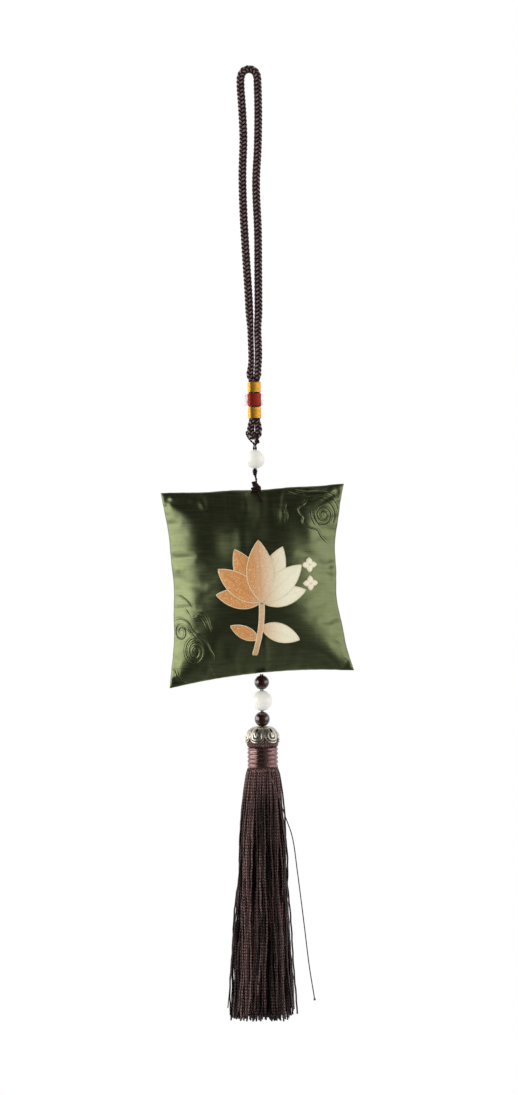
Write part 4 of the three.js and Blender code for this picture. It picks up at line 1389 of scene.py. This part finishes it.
def stitched(outline, layer, surface):
    """A padded patch of stitches on the pillow's face, rounded towards its edges."""
    bm = bmesh.new()
    across = bm.verts.layers.float.new("across")
    along = bm.verts.layers.float.new("along")
    made = bmesh.ops.create_grid(bm, x_segments=CROSS_CELLS, y_segments=LONG_CELLS, size=1)["verts"]
    full = math.dist(outline(0, 1), outline(0, 0))
    feet = {}
    for vertex in made:
        p, q = vertex.co.x, (vertex.co.y + 1) / 2
        vertex[across] = p
        p = math.sin(p * math.pi / 2)
        round_off = math.sqrt(max(0.0, 1 - p * p)) * min(1.0, 4 * q, 6 * (1 - q) + 0.3)
        lift = STITCH_LIFT + LAYER_RISE * layer + DOME_RISE * round_off
        place, normal = laid(surface, outline(p, q), lift)
        vertex.co = place
        feet[vertex] = place - normal * (lift + STITCH_FOOT) * MM
        vertex[along] = q * full
    faces = bm.faces[:]
    bmesh.ops.extrude_face_region(bm, geom=faces)
    bmesh.ops.reverse_faces(bm, faces=faces)
    for vertex, place in feet.items():
        vertex.co = place
    bmesh.ops.remove_doubles(bm, verts=bm.verts, dist=0.005 * MM)
    return bm


def rim(outline, layer, surface, thread):
    """The thin thread laid round a patch."""
    shares = 0.5 - 0.5 * np.cos(np.linspace(0, np.pi, 26))
    flat = [outline(1, q) for q in shares] + [outline(-1, q) for q in shares[::-1][1:]]
    points, normals = [], []
    for spot in flat:
        place, normal = laid(surface, spot, RIM_LIFT + LAYER_RISE * layer)
        if not points or (place - points[-1]).length > 0.05 * MM:
            points.append(place)
            normals.append(normal)
    return tube(np.array(points), thread, 6, np.array(normals))


class CHARM_OT_needlework(bpy.types.Operator):
    """Stitch the blossom, its stem with leaf and bud, and two small florets on the front"""
    bl_idname = "charm.needlework"
    bl_label = "Gold needlework"

    def execute(self, context):
        needle = context.scene.charm_needle
        surface = pillow_surface()
        gold = gold_finish(needle, *GOLD_HIGHLIGHT_SPAN)
        pale = rim_finish(needle)
        blossom = [(petal_outline(BLOSSOM_FOOT, *petal[:3]), petal[3]) for petal in PETALS]
        stem = [(stem_outline, 1)]
        for *shape, share in (LEAF, BUD):
            stem.append((petal_outline(stem_outline(0, share), *shape), 0))
        works = [("lotus_blossom", "gold_blossom", blossom), ("lotus_stem", "gold_stem", stem)]
        for foot, half in zip(FLORETS, ("upper", "lower")):
            petals = [(petal_outline(foot, *FLORET_PETAL, turn), 0) for turn in (0, 90, 180, 270)]
            works.append(("floret_" + half, "small_floret_" + half, petals))
        for name, node, shapes in works:
            bm = bmesh.new()
            edges = bmesh.new()
            for outline, layer in shapes:
                add(bm, stitched(outline, layer, surface))
                add(edges, rim(outline, layer, surface, needle.rim_thread))
            make_piece(name, bm, gold, "sachet", "gold_stitching", node)
            make_piece(name + "_rim", edges, pale, "sachet", "gold_stitching")
        return {"FINISHED"}


# Beads

BEAD_LIP = 0.18 * MM


class CHARM_OT_beads(bpy.types.Operator):
    """Turn the four bored beads"""
    bl_idname = "charm.beads"
    bl_label = "Beads"

    def execute(self, context):
        beads = context.scene.charm_bead
        dark = bead_finish(
            "dark_bead", shade(beads.dark, 0.4), shade(beads.dark, 1.2), 2.2, (1, 1, 1), 0.9,
            (0.08, 0.16), Coat_Weight=0.8, Coat_Roughness=0.04, Specular_IOR_Level=0.7,
        )
        pale = bead_finish(
            "pale_bead", beads.pale, shade(beads.pale, 0.93), 2.6, (1, 1, 0.6), 1.1,
            (0.16, 0.26), Specular_IOR_Level=0.4,
        )
        bore = beads.bore / 2
        lip = BEAD_LIP
        for name, node, body, finish, slot in (
            ("pale_bead_upper", "upper_pale_bead", "upper_bead", pale, "pale_stone"),
            ("dark_bead_seam", "dark_bead_upper", "seam_bead", dark, "dark_bead"),
            ("pale_bead_middle", "lower_pale_bead", "middle_bead", pale, "pale_stone"),
            ("dark_bead_cap", "dark_bead_lower", "cap_bead", dark, "dark_bead"),
        ):
            low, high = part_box(node)
            radius = (high.x - low.x) / 2
            first = math.asin((bore + lip) / radius)
            angles = np.linspace(first, math.pi - first, 30)
            profile = [(radius * math.sin(angle), radius * math.cos(angle)) for angle in angles]
            foot = radius * math.cos(first) - 0.6 * lip
            profile += [(bore + 0.3 * lip, -foot - 0.4 * lip), (bore, -foot), (bore, foot)]
            profile += [(bore + 0.3 * lip, foot + 0.4 * lip), profile[0]]
            bm = turned(profile, 56)
            shift(bm, middle(node))
            make_piece(name, bm, finish, body, slot, node)
        return {"FINISHED"}


# Tassel

CAP_PETALS = 6
CAP_TURN = math.radians(38)
CAP_SLOT = 0.47
SLOT_LENGTH = 0.105
SLOT_WIDTH = 0.19
CAP_RIDGE = 1.12 * MM
CREST_RISE = 0.12 * MM
RIDGE_START = 0.28
SHEET = 0.32 * MM
# A petal's shortest part as a share of its length, how blunt its round end is, and its bulge
PETAL_SHORTEST = 0.66
PETAL_BLUNTNESS = 2.6
PETAL_BULGE = 0.7 * MM
PETAL_SINK = 0.35 * MM
EDGE_GAP = 0.02 * MM
# The cap's section: radius and drop, first in millimetres and then as shares of the cap's own
CAP_HOLE = ((0.95, -0.6), (2.2, -0.15))
CAP_SECTION = ((0.5, 0.02), (0.75, 0.14), (0.93, 0.4), (1, 0.7), (1, 1))


def on_petal(x, y):
    """How far down the cap a place lies, its angle, and how far across its own petal."""
    around = math.atan2(x, -y)
    turn = (around - CAP_TURN) * CAP_PETALS / (2 * math.pi)
    return math.hypot(x, y) - 1, around, 2 * (turn - round(turn))


class CHARM_OT_cap(bpy.types.Operator):
    """Press the silver petal cap, with a ridged curl and a slot in each petal"""
    bl_idname = "charm.cap"
    bl_label = "Petal cap"

    def execute(self, context):
        tassel = context.scene.charm_tassel
        low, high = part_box("tassel_cap")
        centre = middle("tassel_cap")
        radius, height = (high.x - low.x) / 2, high.z - low.z
        section = [(out * MM, 0, z * MM) for out, z in CAP_HOLE]
        section += [(share * radius, 0, -drop * height) for share, drop in CAP_SECTION]
        outline = smooth_path(section, 0.2 * MM)
        run = run_of(outline)
        # A flat ring from radius 1 to 2 is cut first and then takes the cap's section
        bm = spun([(share, 0, 0) for share in np.linspace(1, 2, 61)], 36 * CAP_PETALS, 0.0001)
        slots = []
        for face in bm.faces:
            share, _, u = on_petal(*face.calc_center_median()[:2])
            if ((share - CAP_SLOT) / SLOT_LENGTH) ** 2 + (u / SLOT_WIDTH) ** 2 < 1:
                slots.append(face)
        bmesh.ops.delete(bm, geom=slots, context="FACES")
        hollow = bm.verts.layers.float.new("hollow")
        for vertex in bm.verts:
            share, around, u = on_petal(*vertex.co[:2])
            blunt = math.sqrt(max(0.0, 1 - abs(u) ** PETAL_BLUNTNESS))
            reach = PETAL_SHORTEST + (1 - PETAL_SHORTEST) * blunt
            along = share * reach * run[-1]
            out = float(np.interp(along, run, outline[:, 0]))
            drop = float(np.interp(along, run, outline[:, 2]))
            foot_gap = (1 - share) * run[-1] * reach + EDGE_GAP
            side_gap = (1 - abs(u)) * out * math.pi / CAP_PETALS + EDGE_GAP
            edge_gap = (foot_gap ** -4 + side_gap ** -4) ** -0.25
            curl = math.cos(2 * math.pi * (edge_gap / CAP_RIDGE - RIDGE_START))
            fade = min(1.0, max(0.0, (share - CAP_SLOT - 0.13) / 0.08))
            dome = PETAL_BULGE * (1 - u * u) * min(1.0, share * 1.6) - PETAL_SINK
            vertex[hollow] = max(0.0, 0.2 - curl) * fade + 0.9 * max(0.0, abs(u) - 0.88) / 0.12
            out += dome * min(1.0, share * 2) + CREST_RISE * curl * fade
            vertex.co = (out * math.sin(around), -out * math.cos(around), drop)
        face_out(bm)
        bmesh.ops.solidify(bm, geom=bm.faces[:], thickness=SHEET)
        shift(bm, (centre.x, centre.y, high.z))
        make_piece("petal_cap", bm, metal_finish(tassel), "cap", "silver_metal", "tassel_cap")
        return {"FINISHED"}


NECK = 5.1 * MM
HEAD_THREAD = 0.72 * MM
HEAD_THREADS = 58
HEAD_BORE = 0.95 * MM
BINDING_THREAD = 0.6 * MM
BINDING_TURNS = 18
# The fine turns swell in coarse laps, a little askew
LAP = 1.75 * MM
LAP_LEAN = 0.12
LAP_RISE = 0.6 * MM


class CHARM_OT_head(bpy.types.Operator):
    """Fold the thread bundle over its knot and bind its neck"""
    bl_idname = "charm.head"
    bl_label = "Tassel head and binding"

    def execute(self, context):
        tassel = context.scene.charm_tassel
        self.dome(tassel)
        self.binding(tassel)
        return {"FINISHED"}

    def dome(self, tassel):
        """Threads laid side by side over a core that fills them."""
        low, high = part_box("tassel_head")
        x, top = middle("tassel_head").x, high.z
        radius = (high.x - low.x) / 2
        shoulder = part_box("tassel_binding")[1].z - top
        profile = [
            (1.2 * MM, -0.4 * MM), (3.2 * MM, -0.2 * MM), (5.0 * MM, -1.6 * MM),
            (radius - 0.5 * MM, -4.2 * MM), (radius - 0.25 * MM, -6 * MM),
            (radius - 0.35 * MM, shoulder + 0.9 * MM), (NECK, shoulder - 0.5 * MM),
            (NECK, low.z - top + 0.1 * MM),
        ]
        path = smooth_path([(r, 0, z) for r, z in profile], 0.7 * MM)
        count = HEAD_THREADS
        bm = tube(path, HEAD_THREAD, 6, np.tile([1.0, 0, 0.3], (len(path), 1)))
        single = len(bm.verts)
        repeat(bm, count, 2 * math.pi * (count - 1) / count)
        draw = random.Random(11)
        thread_tones_and_sheen = [draw.random() for _ in range(count)]
        keep(bm, "tint", [thread_tones_and_sheen[min(count - 1, i // single)] for i in range(len(bm.verts))])
        inner = [(max(HEAD_BORE, r - 0.15 * MM), z) for r, z in path[1:-1, [0, 2]]]
        first, last = (HEAD_BORE, path[0][2] - 0.3 * MM), (HEAD_BORE, path[-1][2])
        core = turned([first, *inner, last], 40)
        core.verts.layers.float.new("tint")
        add(bm, core)
        shift(bm, (x, 0, top))
        silk = silk_finish("head_silk", tassel.silk)
        make_piece("tassel_dome", bm, silk, "tassel", "tassel_silk", "tassel_head")

    def binding(self, tassel):
        """One thread wound round the neck in fine turns that swell in coarse laps."""
        low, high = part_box("tassel_binding")
        thread, turns = BINDING_THREAD, BINDING_TURNS
        height = high.z - low.z - thread
        ring = (high.x - low.x) / 2 - thread / 2 - 0.1 * MM
        wind = bmesh.new()
        wound_strand(wind, ring, thread, 0.5 * thread, height / turns, height, turns * 40)
        for vertex in wind.verts:
            out = math.hypot(vertex.co.x, vertex.co.y)
            lap = vertex.co.z / LAP + LAP_LEAN * vertex.co.x / out
            wider = 1 + LAP_RISE * (abs(math.sin(math.pi * lap)) ** 0.7 - 0.8) / out
            vertex.co.x *= wider
            vertex.co.y *= wider
        shift(wind, (middle("tassel_head").x, 0, low.z + thread / 2))
        satin = thread_finish("binding_silk", tassel.binding, 0.4, 0.15, 0.95)
        make_piece("silk_binding", wind, satin, "tassel", "binding_silk", "tassel_binding")


SKIRT_LEAN = -1.6 * MM
# Millimetres from the middle at the neck, and at the cut ends to the sides and to the front
SKIRT_FOOT = 6.2
SKIRT_END = (14.4, 10.6)
# Threads hang in locks: each is drawn by this share towards its lock's leader
LEADERS = 46
GATHER = 0.22
SHORT_ONES = 0.975
SHORTER = 10 * MM
# How the spread grows with the drop, its range from thread to thread, and the leaning of the cut and of
# the threads' tone and painted sheen
SPREAD_POWER = 0.62
SPREAD_RANGE = (0.86, 1.05)
CUT_POWER = 1.6
TONE_AND_SHEEN_POWER = 2.2
# Millimetres of a lock's slow wave, and of a thread's own quicker wave and kinks
WAVES = (0.6, 0.3, 0.1)
THREAD_STEPS = 40
THREADS_APART = 0.01
# Two threads that leave the others, in millimetres. The first ends in a small knot
STRAY_THREAD = 0.5 * MM
STRAY_KNOT = 0.55 * MM
STRAYS = (
    ((4.2, -6.4, -290.4), (6.6, -7.8, -297), (8.4, -8.6, -301.7), (10.8, -8.8, -309.2),
     (13.6, -8.2, -317.6), (15.6, -7.4, -332.6), (17.9, -6.6, -352.7), (20.1, -6, -372.7),
     (21.6, -5.6, -382.7), (22, -5.4, -385.6)),
    ((-4.2, -3, -290.4), (-6, -3.2, -305), (-8.2, -3.4, -328), (-10.5, -3.6, -352.7),
     (-11.9, -3.4, -367.2), (-13.1, -3, -379.7), (-14.1, -2.8, -389)),
)


def hanging_threads(tassel, x, low, high):
    """The threads, spread from the neck in locks, with waves and uneven ends."""
    count = tassel.threads
    apart = THREADS_APART
    bm = bmesh.new()
    wound_strand(bm, 0, tassel.thread, tassel.thread, 0, 1.0, THREAD_STEPS, 5)
    repeat(bm, count, step=(apart, 0, 0))
    coords = places(bm)
    which = np.clip(np.rint(coords[:, 0] / apart).astype(int), 0, count - 1)
    local_x = coords[:, 0] - which * apart
    share = coords[:, 2]
    rng = np.random.default_rng(7)
    order = np.arange(count) + 0.5
    foot = SKIRT_FOOT * MM * np.sqrt(order / count)
    golden = order * math.pi * (3 - math.sqrt(5))
    start = np.column_stack([foot * np.cos(golden), foot * np.sin(golden)])
    start += rng.uniform(-0.15, 0.15, start.shape) * MM
    end_scale = np.array(SKIRT_END) / SKIRT_FOOT * rng.uniform(*SPREAD_RANGE, (count, 1))
    full = high.z - low.z - 2 * MM
    cut = full - tassel.unevenness * rng.uniform(0, 1, count) ** CUT_POWER
    cut -= SHORTER * (rng.uniform(0, 1, count) > SHORT_ONES) * rng.uniform(0.3, 1, count)
    drop = share * cut[which]
    spread = (drop / full) ** SPREAD_POWER
    plan = start[which] * (1 + (end_scale[which] - 1) * spread[:, None])
    lead = rng.choice(count, LEADERS, replace=False)
    gap = np.linalg.norm(start[:, None] - start[lead][None], axis=2)
    leader = lead[gap.argmin(axis=1)]
    shared = start[leader][which] * (1 + (end_scale[leader][which] - 1) * spread[:, None])
    plan += GATHER * np.clip(1.6 * share, 0, 1)[:, None] * (shared - plan)
    plan[:, 0] += SKIRT_LEAN * drop / full
    phase = rng.uniform(0, 2 * math.pi, (count, 4))
    wave = rng.uniform(0.5, 1.4, (count, 2))
    for k in (0, 1):
        slow = np.sin(phase[leader][which, k] + 2 * math.pi * wave[leader][which, k] * share)
        quick = np.sin(phase[which, k + 2] + 2 * math.pi * (1.5 + wave[which, k]) * share)
        kink = np.sin(phase[which, k + 1] + 2 * math.pi * (9 + 4 * wave[which, k]) * share)
        bow = WAVES[0] * slow + WAVES[1] * quick + WAVES[2] * kink
        plan[:, k] += bow * MM * np.minimum(1, 3 * share)
    top = high.z + 0.6 * MM
    put(bm, np.column_stack([x + plan[:, 0] + local_x, plan[:, 1] + coords[:, 1], top - drop]))
    # Random tone for each thread; its lighter end also stands as a painted highlight
    thread_tones_and_sheen = rng.uniform(0, 1, count) ** TONE_AND_SHEEN_POWER
    keep(bm, "tint", thread_tones_and_sheen[which])
    keep(bm, "along", drop / MM)
    return bm


class CHARM_OT_skirt(bpy.types.Operator):
    """Let the tassel's threads hang and spread, with uneven ends and two strays"""
    bl_idname = "charm.skirt"
    bl_label = "Tassel skirt"

    def execute(self, context):
        tassel = context.scene.charm_tassel
        low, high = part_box("tassel_skirt")
        x = middle("tassel_head").x
        bm = hanging_threads(tassel, x, low, high)
        for stray in STRAYS:
            line = smooth_path([Vector(p) * MM for p in stray], 2.5 * MM)
            loose = tube(line, STRAY_THREAD, 5)
            keep(loose, "tint", [0.3] * len(loose.verts))
            add(bm, loose)
        blob = bmesh.new()
        bmesh.ops.create_icosphere(
            blob, subdivisions=2, radius=STRAY_KNOT,
            matrix=Matrix.Translation(Vector(STRAYS[0][-1]) * MM),
        )
        keep(blob, "tint", [0.2] * len(blob.verts))
        add(bm, blob)
        # The threads' packed tops, as a flat slice under the binding
        packed = turned([(0, 0), (6.3 * MM, 0), (6.4 * MM, -1 * MM), (0, -1 * MM)], 40)
        packed.verts.layers.float.new("tint")
        shift(packed, (x, 0, high.z))
        add(bm, packed)
        silk = silk_finish("skirt_silk", tassel.silk)
        make_piece("silk_skirt", bm, silk, "tassel", "tassel_silk", "tassel_skirt")
        return {"FINISHED"}


# Stage

# The camera looks at this place, sees this height there, and leans by this angle
VIEW_CENTRE = Vector((1.46 * MM, 0, -197.63 * MM))
VIEW_HEIGHT = 456.25 * MM
VIEW_LEAN = math.radians(0.786)
SENSOR = 36
FLOOR_Z = -0.56
# Place, share of the lamps' power, and width
LAMPS = {
    "lamp_left": ((-0.85, -0.1, -0.12), 1.15, 0.55),
    "lamp_right": ((0.85, -0.22, -0.12), 0.65, 0.55),
    "lamp_top": ((0.0, 0.1, 0.75), 0.5, 0.8),
}
LAMP_HEIGHT = 1.1


class CHARM_OT_stage(bpy.types.Operator):
    """Set the camera, two large side lamps, the white surround and the floor"""
    bl_idname = "charm.stage"
    bl_label = "Camera, lamps and floor"

    def execute(self, context):
        stage = context.scene.charm_stage
        scene = context.scene
        scene.view_settings.view_transform = "Standard"
        lens = bpy.data.cameras.new("camera")
        lens.sensor_width = SENSOR
        lens.lens = SENSOR * stage.distance / VIEW_HEIGHT
        camera = linked("camera", lens)
        c, s = math.cos(VIEW_LEAN), math.sin(VIEW_LEAN)
        axes = Matrix(((c, s, 0), (0, 0, -1), (-s, c, 0))).to_4x4()
        start = VIEW_CENTRE - Vector((0, stage.distance, 0))
        camera.matrix_world = Matrix.Translation(start) @ axes
        scene.camera = camera
        for name, (place, power, width) in LAMPS.items():
            lamp = bpy.data.lights.new(name, "AREA")
            lamp.shape = "RECTANGLE"
            lamp.size = width
            lamp.size_y = LAMP_HEIGHT
            lamp.energy = stage.lamp_power * power
            holder = linked(name, lamp)
            holder.visible_glossy = name != "lamp_top"
            aim = VIEW_CENTRE - Vector(place)
            turn = aim.to_track_quat("-Z", "Z" if abs(aim.z) < 0.5 else "Y")
            holder.matrix_world = Matrix.Translation(place) @ turn.to_matrix().to_4x4()
        self.surround(scene, stage)
        self.floor()
        return {"FINISHED"}

    def surround(self, scene, stage):
        """White to the eye and in reflections, but dark towards the front."""
        world = bpy.data.worlds.new("surround")
        scene.world = world
        world.use_nodes = True
        f = Finish("surround", world.node_tree)
        towards = f.node("ShaderNodeTexCoord", output="Generated")
        sideways, back, up = (
            f.node("ShaderNodeSeparateXYZ", {}, {0: towards}, output=name) for name in "XYZ"
        )
        gloss = sideways.ramp(0.1, 0.5, 0.0, 0.2) + sideways.ramp(0.66, 0.9, 0.0, 0.4)
        gloss = gloss + (-1 * sideways).ramp(0.68, 0.94)
        gloss = gloss.math("MAXIMUM", back.ramp(0.1, 0.6))
        gloss = gloss.math("MAXIMUM", up.ramp(-0.95, -0.5, 0.25, 0.0))
        gloss = gloss * 0.95 + 0.015
        shiny = f.node("ShaderNodeLightPath", output="Is Glossy Ray")
        seen = f.node("ShaderNodeLightPath", output="Is Camera Ray")
        through = f.node("ShaderNodeLightPath", output="Is Transmission Ray")
        soft = shiny * gloss + (1 - shiny) * stage.surround
        white = seen.math("MAXIMUM", through)
        level = white + (1 - white) * soft
        light = f.node("ShaderNodeBackground", {}, {"Strength": 1.0, "Color": level})
        f.end(light, "ShaderNodeOutputWorld")

    def floor(self):
        """A pale disc far below the charm that fades out towards its edge."""
        bm = bmesh.new()
        low = Matrix.Translation((0, 0, FLOOR_Z))
        bmesh.ops.create_circle(bm, cap_ends=True, segments=96, radius=0.9, matrix=low)
        floor = linked("floor", mesh_of("floor", bm))
        f = Finish("pale_floor")
        place = f.node("ShaderNodeTexCoord", output="Object")
        out = f.node("ShaderNodeVectorMath", {"operation": "LENGTH"}, {0: place}, output="Value")
        pale = f.node("ShaderNodeBsdfDiffuse", {}, {"Color": (0.86, 0.86, 0.86, 1)})
        clear = f.node("ShaderNodeBsdfTransparent")
        fade = out.ramp(0.65, 1.0)
        f.end(f.node("ShaderNodeMixShader", {}, {0: fade, 1: pale, 2: clear}))
        floor.data.materials.append(f.material)
        floor.visible_glossy = False


class CHARM_PT_sidebar(bpy.types.Panel):
    bl_idname = "CHARM_PT_sidebar"
    bl_label = "Satin charm"
    bl_space_type = "VIEW_3D"
    bl_region_type = "UI"
    bl_category = "Charm"

    def draw(self, context):
        for operator in OPERATORS:
            self.layout.operator(operator.bl_idname)
        for name, kind in SETTINGS.items():
            box = self.layout.box()
            for key in kind.__annotations__:
                box.prop(getattr(context.scene, name), key)


SETTINGS = {
    "charm_cord": CordSettings,
    "charm_wrap": WrapSettings,
    "charm_pillow": PillowSettings,
    "charm_needle": NeedleSettings,
    "charm_bead": BeadSettings,
    "charm_tassel": TasselSettings,
    "charm_stage": StageSettings,
}
OPERATORS = (
    CHARM_OT_stage,
    CHARM_OT_braid,
    CHARM_OT_wraps,
    CHARM_OT_pillow,
    CHARM_OT_filling,
    CHARM_OT_strings,
    CHARM_OT_needlework,
    CHARM_OT_beads,
    CHARM_OT_cap,
    CHARM_OT_head,
    CHARM_OT_skirt,
)


def register():
    for kind in (*SETTINGS.values(), *OPERATORS, CHARM_PT_sidebar):
        bpy.utils.register_class(kind)
    for name, kind in SETTINGS.items():
        setattr(bpy.types.Scene, name, PointerProperty(type=kind))


def unregister():
    for name in SETTINGS:
        delattr(bpy.types.Scene, name)
    for kind in reversed((*SETTINGS.values(), *OPERATORS, CHARM_PT_sidebar)):
        bpy.utils.unregister_class(kind)


def main():
    register()
    for operator in OPERATORS:
        group, name = operator.bl_idname.split(".")
        getattr(getattr(bpy.ops, group), name)()


if __name__ == "__main__":
    main()
